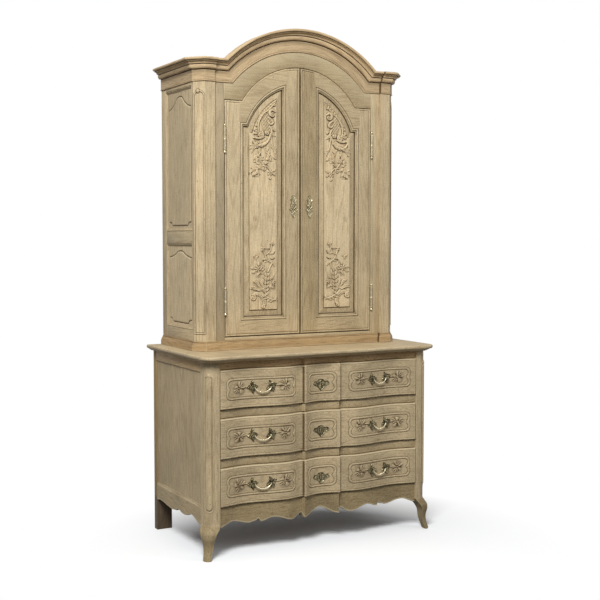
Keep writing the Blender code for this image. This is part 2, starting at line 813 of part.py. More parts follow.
def build_base():
    """Floor slab with a moulded edge, as stacked outlines."""
    levels = [
        (BASE_OUT, 0.0),
        (BASE_OUT, 0.42),
        (BASE_OUT * 0.85, 0.60),
        (BASE_OUT * 0.45, 0.80),
        (BASE_TOP_OUT, 1.0),
    ]
    low = COMMODE_HEIGHT + CLEAR
    solid("upper_base", loft([
        [(x, y, low + (BASE_TOP - low) * rise) for x, y in base_outline(out)] for out, rise in levels]))


def post_section(side, z, reed):
    """Plan of a corner post: flat front, canted corner with a reed, narrow side."""
    start = (CANT_FRONT, POST_FRONT)
    end = (UPPER_HALF, POST_FRONT + CANT_Y)
    reach = math.hypot(CANT_X, CANT_Y)
    outline = [(POST_INNER, POST_FRONT), start]
    for t, rise in ((0.24, 0.0), (0.34, 0.7), (0.5, 1.0), (0.66, 0.7), (0.76, 0.0)):
        x = start[0] + (end[0] - start[0]) * t + CANT_Y / reach * rise * reed
        y = start[1] + (end[1] - start[1]) * t - CANT_X / reach * rise * reed
        outline.append((x, y))
    inner = UPPER_HALF - SIDE_FRAME_THICK
    back = POST_FRONT + POST_THICK
    outline += [end, (UPPER_HALF, SIDE_FRONT), (inner, SIDE_FRONT), (inner, back), (POST_INNER, back)]
    return [(side * x, y, z) for x, y in outline]


def build_post(name, side):
    low = BASE_TOP + CLEAR
    high = CORNICE_BOTTOM - CLEAR
    levels = [
        (low, 0.0),
        (low + REED_BLOCK, 0.0),
        (low + REED_BLOCK + REED_RUN_OUT, REED_RISE),
        (high - REED_BLOCK - REED_RUN_OUT, REED_RISE),
        (high - REED_BLOCK, 0.0),
        (high, 0.0),
    ]
    solid(f"corner_post_{name}", loft([post_section(side, z, reed) for z, reed in levels]))


def side_openings():
    """Bottom and top of the two panel openings in a side."""
    low = BASE_TOP + BOTTOM_RAIL
    mid = BASE_TOP + MID_RAIL_LOW
    return {"lower": (low, mid), "upper": (mid + MID_RAIL_HEIGHT, CORNICE_BOTTOM - TOP_RAIL)}


def side_frame_outline(front, edge):
    """A side frame seen from the side, open to the post, with its openings widened by the edge moulding."""
    low = BASE_TOP + CLEAR
    high = CORNICE_BOTTOM - CLEAR
    stile = UPPER_BACK - REAR_STILE + edge
    openings = side_openings()
    outline = [(front, low), (UPPER_BACK, low), (UPPER_BACK, high), (front, high)]
    for word in ("upper", "lower"):
        sill, head = openings[word]
        outline += [(front, head + edge), (stile, head + edge), (stile, sill - edge), (front, sill - edge)]
    return outline


def build_upper_side(name, side):
    """Rear stile with three rails that meet the post, a shelf bearer, and a panel in each opening."""
    front = SIDE_FRONT + CLEAR
    stile = UPPER_BACK - REAR_STILE
    outer = side * UPPER_HALF
    inner = outer - side * SIDE_FRAME_THICK
    edges = [(inner, 0.0), (outer - side * SIDE_FRAME_MOULD_DEPTH, 0.0), (outer, SIDE_FRAME_MOULD)]
    frame = solid(f"upper_side_frame_{name}", loft([
        [(x, y, z) for y, z in side_frame_outline(front, edge)] for x, edge in edges]))
    add(frame, block((inner - side * BEARER_DEPTH, front, SHELF_Z - BEARER_HEIGHT - CLEAR),
                     (inner + side * SIDE_FRAME_THICK / 2, stile, SHELF_Z - CLEAR)))
    for word, (low, high) in side_openings().items():
        build_side_panel(f"upper_side_panel_{word}_{name}", side, (front, stile - CLEAR),
                         (low + CLEAR, high - CLEAR), FIELD_CROWN if word == "upper" else 0.0)


def field_loop(ys, zs, inset, crown):
    """A panel field seen from the side: round corners below, and above either round or an ogee crown."""
    y0, y1 = ys[0] + inset, ys[1] - inset
    z0, z1 = zs[0] + inset, zs[1] - inset
    radius = max(FIELD_CORNER - inset / 2, FIELD_BEVEL / 2)
    steps = FIELD_STEPS
    loop = []
    for cy, cz, turn in ((y0 + radius, z0 + radius, 180), (y1 - radius, z0 + radius, 270)):
        for i in range(steps + 1):
            angle = math.radians(turn + 90 * i / steps)
            loop.append((cy + radius * math.cos(angle), cz + radius * math.sin(angle)))
    if crown:
        rise = [(0.0, crown, "ease"), (0.5, 0.0, "ease"), (1.0, crown, "ease")]
    else:
        end = radius / (y1 - y0)
        rise = [(0.0, radius, "ease"), (end, 0.0, "line"), (1.0 - end, 0.0, "ease"), (1.0, radius, "ease")]
    for i in range(2 * steps + 2):
        t = 1 - i / (2 * steps + 1)
        loop.append((y0 + (y1 - y0) * t, z1 - ease(rise, t)))
    return loop


def build_side_panel(name, side, ys, zs, crown):
    """A board in its opening, with a raised field behind a bevel."""
    skin = side * (UPPER_HALF - PANEL_RECESS)
    back = skin - side * PANEL_THICK
    board = solid(name, block((back, ys[0], zs[0]), (skin, ys[1], zs[1])))
    steps = [(FIELD_INSET, -FIELD_RISE), (FIELD_INSET, 0.0), (FIELD_INSET + FIELD_BEVEL, FIELD_RISE)]
    loops = []
    for inset, out in steps:
        loops.append([(skin + side * out, y, z) for y, z in field_loop(ys, zs, inset, crown)])
    add(board, loft(loops))


def arch(radius, limit, steps=ARC_STEPS):
    """Points of an arc about the arch's centre, from its right end at height limit over to the left."""
    reach = math.acos((limit - ARCH_Z) / radius)
    angles = [reach * (1 - 2 * i / steps) for i in range(steps + 1)]
    return [(radius * math.sin(angle), ARCH_Z + radius * math.cos(angle)) for angle in angles]


def crowned(half, low, shoulder, radius):
    """A front-view outline with upright sides, level shoulders and an arch between them."""
    return [(-half, low), (half, low), (half, shoulder)] + arch(radius, shoulder) + [(-half, shoulder)]


def build_face_frame():
    """Stiles, sill and arched tympanum round the doors, in one plane with them."""
    gap = DOOR_GAP
    outer = crowned(POST_INNER - CLEAR, BASE_TOP + CLEAR, CORNICE_BOTTOM - CLEAR, ARCH_RADIUS - CLEAR)
    inner = crowned(DOOR_HALF + gap, DOOR_BOTTOM - gap, CORNICE_BOTTOM - DOOR_SHOULDER_DROP + gap,
                    DOOR_ARCH_RADIUS + gap)
    back = DOOR_FRONT + SIDE_FRAME_THICK
    solid("face_frame", ring([
        [(x, DOOR_FRONT, z) for x, z in outer], [(x, DOOR_FRONT, z) for x, z in inner],
        [(x, back, z) for x, z in inner], [(x, back, z) for x, z in outer]]))


CORNICE_PROFILE = [
    (0.00, 0.00),
    (0.14, 0.00),
    (0.19, 0.05),
    (0.14, 0.11),
    (0.08, 0.13),
    (0.08, 0.34),
    (0.14, 0.40),
    (0.28, 0.47),
    (0.34, 0.54),
    (0.42, 0.56),
    (0.44, 0.66),
    (0.54, 0.79),
    (0.72, 0.88),
    (0.93, 0.92),
    (1.00, 0.95),
    (1.00, 1.00),
]
STEP_DRAFT = 0.002


def build_cornice():
    """The crown moulding: one profile carried round the sides, canted corners, breaks and arch."""
    stations = []
    reach = math.asin(KINK_X / ARCH_RADIUS)
    for i in range(ARC_STEPS // 2 + 1):
        angle = reach * i / (ARC_STEPS // 2)
        up = (math.sin(angle), 0.0, math.cos(angle))
        place = (ARCH_RADIUS * up[0], DOOR_FRONT, ARCH_Z + ARCH_RADIUS * up[2])
        if i == ARC_STEPS // 2:
            lean = mitre((up[0], up[2]), (0.0, 1.0))
            up = (lean[0], 0.0, lean[1])
        stations.append((place, (0.0, -1.0, 0.0), up))
    line = case_line()
    normals = case_normals()
    shift = (-STEP_DRAFT / 2, STEP_DRAFT / 2, 0.0, 0.0, 0.0)
    for k, (x, y) in enumerate(line):
        out = (0.0, -1.0) if k < 2 else normals[k]
        stations.append(((x + shift[k], y, CORNICE_BOTTOM), (out[0], out[1], 0.0), (0.0, 0.0, 1.0)))
    left = [tuple((-x, y, z) for x, y, z in station) for station in reversed(stations[1:])]
    profile = [(-CORNICE_SEAT, 0.0)] + [(a * CORNICE_OUT, b * CORNICE_HEIGHT) for a, b in CORNICE_PROFILE]
    profile.append((-CORNICE_SEAT, CORNICE_HEIGHT))
    loops = []
    for place, out, up in left + stations:
        loops.append([tuple(place[i] + a * out[i] + b * up[i] for i in range(3)) for a, b in profile])
    solid("cornice", loft(loops))


def build_roof():
    """Thin boards bent over the cupboard behind the cornice, clipped at the canted corners."""
    front = DOOR_FRONT + CORNICE_SEAT + CLEAR
    corner_line = case_line()
    corner_out = case_normals()
    clip = [(x - CORNICE_SEAT * nx, y - CORNICE_SEAT * ny)
            for (x, y), (nx, ny) in zip(corner_line[2:4], corner_out[2:4])]
    slope = (clip[1][0] - clip[0][0]) / (clip[1][1] - clip[0][1])
    half = UPPER_HALF - CORNICE_SEAT - CLEAR
    narrow = clip[0][0] + slope * (front - clip[0][1]) - 2 * CLEAR
    low = CORNICE_BOTTOM
    loops = []
    for y, reach in ((front, narrow), (clip[1][1] + CLEAR, half), (UPPER_BACK, half)):
        high = low + ROOF_THICK
        under = [(reach, low)] + arch(ARCH_RADIUS, low) + [(-reach, low)]
        over = [(reach, high)] + arch(ARCH_RADIUS + ROOF_THICK, high) + [(-reach, high)]
        over.reverse()
        loops.append([(x, y, z) for x, z in under + over])
    solid("upper_roof", loft(loops))


def build_upper_back():
    half = UPPER_HALF - SIDE_FRAME_THICK - CLEAR
    outline = crowned(half, BASE_TOP + CLEAR, CORNICE_BOTTOM - CLEAR, ARCH_RADIUS - CLEAR)
    solid("upper_back", facing(outline, UPPER_BACK - UPPER_BACK_THICK, UPPER_BACK))


def build_shelf():
    half = UPPER_HALF - SIDE_FRAME_THICK - CLEAR
    back = UPPER_BACK - UPPER_BACK_THICK - CLEAR
    solid("shelf", block((-half, SIDE_FRONT + CLEAR, SHELF_Z), (half, back, SHELF_Z + SHELF_THICK)))


# Doors and their brass
def door_loop(side, inset):
    """Front-view outline of a door's opening, moved inwards by inset from the moulding's outer edge."""
    lock = DOOR_GAP / 2 + LOCK_STILE + inset
    hinge = DOOR_HALF - HINGE_STILE - inset
    low = DOOR_BOTTOM + DOOR_RAIL + inset
    shoulder = CORNICE_BOTTOM - PANEL_SHOULDER_DROP - inset
    return half_arch(side, lock, hinge, low, shoulder, PANEL_ARCH_RADIUS - inset)


def half_arch(side, lock, hinge, low, shoulder, radius):
    """Half of an arched outline: lock edge, foot, hinge edge, level shoulder, then the arc back."""
    first = math.acos((shoulder - ARCH_Z) / radius)
    last = math.asin(lock / radius)
    steps = ARC_STEPS // 2
    arc = []
    for i in range(steps + 1):
        angle = first + (last - first) * i / steps
        arc.append((radius * math.sin(angle), ARCH_Z + radius * math.cos(angle)))
    outline = [(lock, low), (hinge, low), (hinge, shoulder)] + arc
    return [(side * x, z) for x, z in outline]


def build_door(name, side):
    """Frame with a moulded, grooved inner edge, the panel that floats in it, hinges and escutcheon."""
    home = (side * HINGE_X, HINGE_Y, DOOR_BOTTOM)
    door = joint_empty(f"door_{name}_hinge", home)
    outer = half_arch(side, DOOR_GAP / 2, DOOR_HALF, DOOR_BOTTOM, CORNICE_BOTTOM - DOOR_SHOULDER_DROP,
                      DOOR_ARCH_RADIUS)
    groove_back = GROOVE_FRONT + GROOVE_WIDTH
    edge = [
        (0.0, 0.0),
        (MOULD_WIDTH * 0.16, MOULD_DEPTH * 0.35),
        (MOULD_WIDTH * 0.55, MOULD_DEPTH * 0.45),
        (MOULD_WIDTH * 0.90, MOULD_DEPTH * 0.75),
        (MOULD_WIDTH, MOULD_DEPTH),
        (MOULD_WIDTH, GROOVE_FRONT),
        (MOULD_WIDTH - GROOVE_DEPTH, GROOVE_FRONT),
        (MOULD_WIDTH - GROOVE_DEPTH, groove_back),
        (MOULD_WIDTH, groove_back),
        (MOULD_WIDTH, DOOR_THICK),
    ]
    loops = [[(x, DOOR_FRONT, z) for x, z in outer]]
    loops += [[(x, DOOR_FRONT + depth, z) for x, z in door_loop(side, inset)] for inset, depth in edge]
    loops.append([(x, DOOR_FRONT + DOOR_THICK, z) for x, z in outer])
    solid(f"door_frame_{name}", ring(loops), "oak", door, home)
    tongue = MOULD_WIDTH - GROOVE_DEPTH + CLEAR
    field = MOULD_WIDTH + DOOR_BEVEL
    panel = [
        (tongue, groove_back - CLEAR),
        (tongue, GROOVE_FRONT + CLEAR),
        (MOULD_WIDTH + 2 * CLEAR, GROOVE_FRONT + CLEAR),
        (field - DOOR_FIELD_STEP, DOOR_FIELD_SINK + DOOR_FIELD_STEP),
        (field, DOOR_FIELD_SINK),
    ]
    solid(f"door_panel_{name}", loft([
        [(x, DOOR_FRONT + depth, z) for x, z in door_loop(side, inset)] for inset, depth in panel]),
        "oak", door, home)
    for level, rise in HINGE_HEIGHTS.items():
        build_hinge(f"{level}_{name}", side, BASE_TOP + rise, door)
    build_door_plate(name, side, door)


def turned(x, y, profile, sides=12):
    """A round solid on an upright axis, from (radius, height) pairs."""
    turns = [math.tau * i / sides for i in range(sides)]
    return loft([[(x + radius * math.cos(turn), y + radius * math.sin(turn), z) for turn in turns]
                 for radius, z in profile])


def knuckle(z, way, foot):
    """Profile of a hinge half, as (radius, height): plain barrel from its foot, neck and turned finial."""
    end = z + way * HINGE_LENGTH / 2
    return [
        (BARREL_RADIUS, foot),
        (BARREL_RADIUS, end - way * FINIAL_LENGTH),
        (BARREL_RADIUS * 0.55, end - way * FINIAL_LENGTH * 0.75),
        (BARREL_RADIUS * 0.80, end - way * FINIAL_LENGTH * 0.35),
        (BARREL_RADIUS * 0.30, end),
    ]


def build_hinge(name, side, z, door):
    """A long pin hinge: the fixed half carries the pin and the lower knuckle, the door half turns on it."""
    x = side * HINGE_X
    y = HINGE_Y
    pin_top = z + HINGE_LENGTH / 2 - FINIAL_LENGTH
    pin = [(HINGE_PIN_RADIUS, pin_top), (HINGE_PIN_RADIUS, z - CLEAR)]
    fixed = solid(f"hinge_fixed_{name}", turned(x, y, pin + knuckle(z, -1, z - CLEAR)), "brass")
    leaf_back = DOOR_FRONT + LEAF_DEPTH
    leaf_start = FINIAL_LENGTH / 2
    leaf_end = HINGE_LENGTH / 2 - FINIAL_LENGTH - BARREL_RADIUS
    stile_side = side * (DOOR_HALF + DOOR_GAP - CLEAR)
    add(fixed, block(
        (stile_side, y, z - leaf_end), (stile_side - side * LEAF_THICK, leaf_back, z - leaf_start)))
    home = tuple(door["home"])
    turning = solid(f"hinge_door_{name}", turned(x, y, knuckle(z, 1, z)), "brass", door, home)
    door_side = side * (DOOR_HALF + CLEAR)
    add(turning, block(
        (door_side, y, z + leaf_start), (door_side + side * LEAF_THICK, leaf_back, z + leaf_end)))
    bore = HINGE_PIN_RADIUS + HINGE_PIN_PLAY
    cut(turning, turned(x, y, [(bore, z - FINIAL_LENGTH), (bore, pin_top + CLEAR)]))


DOOR_PLATE_SHAPE = [
    (0.00, 0.02),
    (0.10, 0.16),
    (0.22, 0.34),
    (0.34, 0.24),
    (0.50, 0.50),
    (0.66, 0.24),
    (0.80, 0.36),
    (0.92, 0.14),
    (1.00, 0.02),
]


def build_door_plate(name, side, door):
    """A tall pierced-scroll escutcheon on the lock stile: half its width by height."""
    knots = [(t, width, "ease") for t, width in DOOR_PLATE_SHAPE]
    x = side * LOCK_PLATE_INSET
    low = BASE_TOP + DOOR_PLATE_RISE - DOOR_PLATE_HEIGHT / 2
    back = DOOR_FRONT - CLEAR
    front = back - DOOR_PLATE_THICK
    steps = 3 * PLATE_STEPS
    loops = []
    for i in range(steps + 1):
        half = DOOR_PLATE_WIDTH * ease(knots, i / steps)
        z = low + DOOR_PLATE_HEIGHT * i / steps
        loops.append([(x - half, back, z), (x + half, back, z), (x + half, front, z), (x - half, front, z)])
    plate = solid(f"door_escutcheon_{name}", loft(loops), "brass", door, tuple(door["home"]))
    if side > 0:
        cut(plate, keyhole(x, back, low + DOOR_PLATE_HEIGHT / 2, DOOR_PLATE_THICK * 3))


def build():
    """Clear the scene, then build the commode, its drawers, the cupboard and its doors."""
    for old in list(bpy.data.objects):
        bpy.data.objects.remove(old)
    build_top()
    for name, side in (("left", -1), ("right", 1)):
        build_front_leg(name, side)
        build_commode_side(name, side)
    build_commode_back()
    build_decks(build_front_rails())
    for name, (low, high) in LEVELS.items():
        build_drawer(name, low, high)
    build_base()
    build_face_frame()
    build_cornice()
    build_roof()
    build_upper_back()
    build_shelf()
    for name, side in (("left", -1), ("right", 1)):
        build_post(name, side)
        build_upper_side(name, side)
        build_door(name, side)


build()
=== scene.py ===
# %% [markdown]
# # An oak cupboard on a chest of drawers
# The real piece is an old country cupboard in stripped, waxed oak. Its upper half has two carved doors
# under an arched cornice, and it stands on a chest with three bowed drawers. The joints and sizes come
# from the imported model, so this lesson only dresses that frame: finer wood surfaces, carving and brass.

# %% Load the frame
import math

import bmesh
import bpy
import numpy as np
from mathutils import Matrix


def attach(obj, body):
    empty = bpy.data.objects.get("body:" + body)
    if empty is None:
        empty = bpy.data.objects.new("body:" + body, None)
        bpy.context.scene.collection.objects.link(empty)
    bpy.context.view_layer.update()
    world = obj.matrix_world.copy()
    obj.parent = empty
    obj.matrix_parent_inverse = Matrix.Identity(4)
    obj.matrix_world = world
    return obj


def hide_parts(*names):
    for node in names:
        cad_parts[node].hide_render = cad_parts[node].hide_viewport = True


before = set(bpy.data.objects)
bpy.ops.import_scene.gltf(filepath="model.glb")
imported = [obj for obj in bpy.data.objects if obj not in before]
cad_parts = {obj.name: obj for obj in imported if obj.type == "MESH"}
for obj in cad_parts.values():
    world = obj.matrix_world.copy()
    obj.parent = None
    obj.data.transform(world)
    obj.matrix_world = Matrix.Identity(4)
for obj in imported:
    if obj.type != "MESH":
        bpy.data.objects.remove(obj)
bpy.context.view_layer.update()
scene = bpy.context.scene
scene.view_settings.view_transform = "Standard"

# %% [markdown]
# ## The camera
# The photograph was taken from the left at chest height. A camera can be placed by eye, but here its
# focal length and place were fitted to known corners of the cupboard, so the picture falls where it should.

# %% Place the camera
PHOTO_PIXELS = 600
FOCAL_PIXELS = 1097.65
SENSOR_MM = 36.0
CAMERA_PLACE = (-2.5495, -4.7454, 1.4512)
CAMERA_YAW = -28.6626
CAMERA_PITCH = -3.302

lens = bpy.data.cameras.new("photo_camera")
lens.sensor_width = SENSOR_MM
lens.lens = FOCAL_PIXELS * SENSOR_MM / PHOTO_PIXELS
camera = bpy.data.objects.new("photo_camera", lens)
camera.location = CAMERA_PLACE
camera.rotation_euler = (math.radians(90 + CAMERA_PITCH), 0.0, math.radians(CAMERA_YAW))
scene.collection.objects.link(camera)
scene.camera = camera
print("lens", round(lens.lens, 2), "mm")

# %% [markdown]
# ## Colours and nodes
# Colours are written as sRGB hex values, as a paint chart gives them, while Blender's sockets want linear
# light, so one function converts them. A second small function adds a node with its settings and links.

# %% Colour and node helpers
def colour(code):
    """Linear RGBA of an sRGB hex code: the low end is divided by 12.92, the rest follows a power of 2.4."""
    value = np.array([int(code[i:i + 2], 16) for i in (0, 2, 4)]) / 255
    linear = np.where(value <= 0.04045, value / 12.92, ((value + 0.055) / 1.055) ** 2.4)
    return (*linear.tolist(), 1.0)


def add_node(tree, kind, inputs=(), **settings):
    """Add a shader node, set its properties, and give each named input a value or a link from a socket."""
    node = tree.nodes.new(f"ShaderNode{kind}")
    for key, value in settings.items():
        setattr(node, key, value)
    for key, value in dict(inputs).items():
        if isinstance(value, bpy.types.NodeSocket):
            tree.links.new(value, node.inputs[key])
        else:
            node.inputs[key].default_value = value
    return node


def new_material(name):
    """An empty node material and its tree."""
    material = bpy.data.materials.new(name)
    material.use_nodes = True
    material.node_tree.nodes.clear()
    return material, material.node_tree


print("oak as linear light:", [round(c, 3) for c in colour("B59B73")])

# %% [markdown]
# ## Floor, world and lamps
# A studio photograph has a white paper floor and broad soft lamps. A white picture could stand behind the
# piece, but it would take no shadow. So the floor is a plain diffuse sheet that looks whiter to the camera
# than to the light: the paper burns out to white and the shadow stays.

# %% Set the stage
FLOOR_SIZE = 60.0
PAPER_TO_LIGHT = (0.09, 0.09, 0.09, 1.0)
PAPER_TO_CAMERA = (1.27, 1.29, 1.31, 1.0)
SHADOW_CENTRE = (0.0, -0.30, 0.0)
PAPER_WHITE_FROM = 0.60
PAPER_WHITE_TO = 1.15
SKY_STRENGTH = 0.25
WHITE = colour("FFFFFF")


def background_rays(tree):
    """1 for the rays that show the background, which are camera, glossy and transmission rays, else 0."""
    path = add_node(tree, "LightPath").outputs
    shown = path["Is Camera Ray"]
    for kind in ("Is Glossy Ray", "Is Transmission Ray"):
        shown = add_node(tree, "Math", {0: shown, 1: path[kind]}, operation="MAXIMUM").outputs[0]
    return shown


paper, tree = new_material("white_paper_sweep")
shown = background_rays(tree)
tint = add_node(tree, "Mix", {0: shown, 6: PAPER_TO_LIGHT, 7: PAPER_TO_CAMERA}, data_type="RGBA")
sheet = add_node(tree, "BsdfDiffuse", {"Color": tint.outputs[2]})
place = add_node(tree, "TexCoord").outputs["Object"]
far = add_node(tree, "VectorMath", {0: place, 1: SHADOW_CENTRE}, operation="DISTANCE")
fade = add_node(tree, "MapRange", {
    0: far.outputs["Value"], 1: PAPER_WHITE_FROM, 2: PAPER_WHITE_TO, 3: 0.0, 4: 1.0})
share = add_node(tree, "Math", {0: fade.outputs[0], 1: shown}, operation="MULTIPLY")
glow = add_node(tree, "Emission", {"Color": WHITE, "Strength": 1.0})
mixed = add_node(tree, "MixShader", {0: share.outputs[0], 1: sheet.outputs[0], 2: glow.outputs[0]})
add_node(tree, "OutputMaterial", {"Surface": mixed.outputs[0]})

floor_mesh = bpy.data.meshes.new("paper_floor")
reach = FLOOR_SIZE / 2
floor_mesh.from_pydata(
    [(-reach, -reach, 0), (reach, -reach, 0), (reach, reach, 0), (-reach, reach, 0)], [], [(0, 1, 2, 3)])
floor_mesh.materials.append(paper)
floor = bpy.data.objects.new("paper_floor", floor_mesh)
scene.collection.objects.link(floor)
print("floor:", FLOOR_SIZE, "m square")

# %% World and lamps
world = bpy.data.worlds.new("studio_sky")
scene.world = world
world.use_nodes = True
tree = world.node_tree
tree.nodes.clear()
soft = add_node(tree, "Background", {"Color": WHITE, "Strength": SKY_STRENGTH})
white = add_node(tree, "Background", {"Color": WHITE, "Strength": 1.0})
either = add_node(tree, "MixShader", {0: background_rays(tree), 1: soft.outputs[0], 2: white.outputs[0]})
add_node(tree, "OutputWorld", {"Surface": either.outputs[0]})


def lamp(name, place, aim, size, power):
    """A square soft box at a place, turned to face its aim."""
    light = bpy.data.lights.new(name, "AREA")
    light.size = size
    light.energy = power
    holder = bpy.data.objects.new(name, light)
    away = np.array(place) - np.array(aim)
    flat = math.hypot(away[0], away[1])
    holder.location = place
    holder.rotation_euler = (math.atan2(flat, away[2]), 0.0, math.atan2(away[0], -away[1]))
    scene.collection.objects.link(holder)


lamp("key_soft_box", place=(-2.7, -3.5, 4.5), aim=(0.0, -0.1, 1.5), size=1.7, power=262)
lamp("fill_soft_box", place=(3.6, -3.8, 3.0), aim=(0.0, -0.1, 1.3), size=2.6, power=30)
print("two soft boxes, sky", SKY_STRENGTH)

# %% [markdown]
# ## Stripped oak
# Oak that was stripped and waxed is straw coloured, matt, and streaked along its grain. Moulded edges wear
# pale and the hollows of the carving keep brown dirt; on top of that, shade is painted into hollows, gaps and
# grooves, and highlights onto some edges. A picture of wood could be wrapped round each board, but noise
# stretched along the board needs no seams. The wear and the painted shade are measured on each mesh or drawn
# with it, and stored on its points, so they follow the shape and not the camera.

# %% Oak grain
# Each noise has a width in metres, a stretch along the grain, and its detail, roughness and distortion.
# Real streaks are 1 to 2 mm wide and pores 0.3 mm, too fine to show, so both are drawn coarser. Clouds,
# growth rings and flecks have their real size.
OAK_NOISE = {"streak": (0.0060, 0.055, 6.0, 0.68, 0.6), "pore": (0.0036, 0.055, 2.0, 0.50, 0.0),
             "cloud": (0.20, 1.0, 3.0, 0.55, 0.0), "growth": (0.13, 0.10, 1.0, 0.40, 0.0),
             "fleck": (0.0060, 1.0, 2.0, 0.60, 0.0)}
RINGS = 15.0
WORM_HOLE_SPACING = 0.050
PORE_DEPTH = 0.0012
WAX_IOR = 1.45
MATT_SHINE = 0.22


def oak_finish(name, along, pale, mid, dark, dirt_and_shade="46331F", worn_and_lit="DCCBA6"):
    """Straight-grained oak: streaks and pores run along one axis; marks carry board shift, tone, and wear with
    painted shade and highlights.
    """
    material, tree = new_material(name)
    place = add_node(tree, "TexCoord").outputs["Object"]
    if along == "run":
        place = add_node(tree, "Attribute", attribute_name="run").outputs["Vector"]
        along = "X"
    marks = add_node(tree, "Attribute", attribute_name="marks").outputs["Vector"]
    shift, tone, wear_and_shading = add_node(tree, "SeparateXYZ", {0: marks}).outputs
    board = add_node(tree, "CombineXYZ", {axis: shift for axis in "XYZ"}).outputs[0]
    moved = add_node(tree, "VectorMath", {0: place, 1: board}, operation="ADD").outputs[0]
    noise = {}
    for key, (width, stretch, detail, roughness, distortion) in OAK_NOISE.items():
        scale = [stretch if axis == along else 1.0 for axis in "XYZ"]
        grain = add_node(tree, "Mapping", {"Vector": moved, "Scale": scale}).outputs[0]
        noise[key] = add_node(tree, "TexNoise", {
            "Vector": grain, "Scale": 1 / width, "Detail": detail, "Roughness": roughness,
            "Distortion": distortion}).outputs[0]
    holes = add_node(tree, "TexVoronoi", {"Vector": moved, "Scale": 1 / WORM_HOLE_SPACING})
    holes = holes.outputs["Distance"]
    rings = add_node(tree, "Math", {0: noise["growth"], 1: RINGS}, operation="MULTIPLY").outputs[0]
    rings = add_node(tree, "Math", {0: rings, 1: 0.5}, operation="PINGPONG").outputs[0]

    light = add_node(tree, "MapRange", {0: noise["streak"], 1: 0.33, 2: 0.67, 3: 0.0, 4: 1.0}).outputs[0]
    tint = add_node(tree, "Mix", {0: light, 6: colour(mid), 7: colour(pale)}, data_type="RGBA").outputs[2]
    for mask, start, end, most in ((rings, 0.16, 0.0, 0.30), (noise["pore"], 0.46, 0.30, 0.60)):
        cover = add_node(tree, "MapRange", {0: mask, 1: start, 2: end, 3: 0.0, 4: most}).outputs[0]
        tint = add_node(tree, "Mix", {0: cover, 6: tint, 7: colour(dark)}, data_type="RGBA").outputs[2]

    patch = add_node(tree, "MapRange", {0: noise["cloud"], 1: 0.25, 2: 0.75, 3: 0.86, 4: 1.14}).outputs[0]
    mottle = add_node(tree, "MapRange", {0: noise["fleck"], 1: 0.3, 2: 0.7, 3: -0.14, 4: 0.14}).outputs[0]
    patch = add_node(tree, "Math", {0: patch, 1: mottle}, operation="ADD").outputs[0]
    shade = add_node(tree, "Math", {0: tone, 1: 0.5, 2: patch}, operation="MULTIPLY_ADD").outputs[0]
    # Low tones, many of them painted shade, are made more saturated, as warm shade.
    shade_warmth = add_node(tree, "MapRange", {0: tone, 1: -0.8, 2: 0.1, 3: 1.16, 4: 1.0}).outputs[0]
    tint = add_node(tree, "HueSaturation", {"Saturation": shade_warmth, "Value": shade, "Color": tint}).outputs[0]
    # Positive marks mix in the pale colour: worn edges and painted highlights. Negative marks mix in the dark
    # colour: old dirt, and painted shade in hollows, gaps and grooves.
    for mask, start, end, most, code in (
            (wear_and_shading, 0.08, 0.56, 0.85, worn_and_lit), (wear_and_shading, -0.04, -0.40, 0.92, dirt_and_shade), (holes, 0.06, 0.03, 0.7, dirt_and_shade)):
        cover = add_node(tree, "MapRange", {0: mask, 1: start, 2: end, 3: 0.0, 4: most}).outputs[0]
        tint = add_node(tree, "Mix", {0: cover, 6: tint, 7: colour(code)}, data_type="RGBA").outputs[2]

    rough = add_node(tree, "MapRange", {0: noise["streak"], 1: 0.3, 2: 0.7, 3: 0.68, 4: 0.50})
    bump = add_node(tree, "Bump", {"Height": noise["pore"], "Strength": 0.25, "Distance": PORE_DEPTH})
    wood = add_node(tree, "BsdfPrincipled", {
        "Base Color": tint, "Roughness": rough.outputs[0], "IOR": WAX_IOR, "Specular IOR Level": MATT_SHINE,
        "Normal": bump.outputs[0]})
    add_node(tree, "OutputMaterial", {"Surface": wood.outputs[0]})
    return material


print("oak pores are drawn", 1000 * OAK_NOISE["pore"][0], "mm wide")

# %% Oak finishes
# Stripped oak is straw coloured and matt, with fine brown lines along the grain.
OAK = {axis: oak_finish(f"stripped_oak_along_{axis.lower()}", axis, "D0BE9A", "BEA986", "917858")
       for axis in ("X", "Y", "Z", "run")}
# Weathered oak has lost its yellow and looks grey.
GREY_OAK = oak_finish("weathered_oak", "Z", "B1A084", "9E8D71", "7A6A51")
# Browned oak keeps some old wax and looks darker and warmer.
BROWN_OAK = {axis: oak_finish(f"browned_oak_along_{axis.lower()}", axis, "BFA37B", "A98D65", "785E41")
             for axis in ("X", "Y", "run")}
# Smoked oak is a shade browner than the doors below it.
CORNICE_OAK = oak_finish("smoked_oak_along_the_run", "run", "C6AF8A", "B39A76", "836B4E")
# Bare inner oak never saw wax: dull, even and yellow brown.
INNER_OAK = {axis: oak_finish(f"bare_inner_oak_along_{axis.lower()}", axis, "B99A69", "9A7B4E", "6E5331")
             for axis in "XYZ"}
# Unfinished dark oak is grey brown, nearly black in its grain.
DARK_OAK = oak_finish("unfinished_dark_oak", "Z", "7A6A55", "5A4D3E", "30271E", worn_and_lit="8A7862")
print("oak finishes:", [m.name for m in bpy.data.materials if "oak" in m.name])

# %% [markdown]
# ## Old brass
# The handles and plates are cast brass that has gone dull and greenish, with bright rubbed edges. A plain
# metal shader would look new, so a cloudy noise and the wear on the points lay tarnish over the metal.

# %% Brass finish
# Tarnish lies in spots of about 12 mm.
TARNISH_SIZE = 0.012


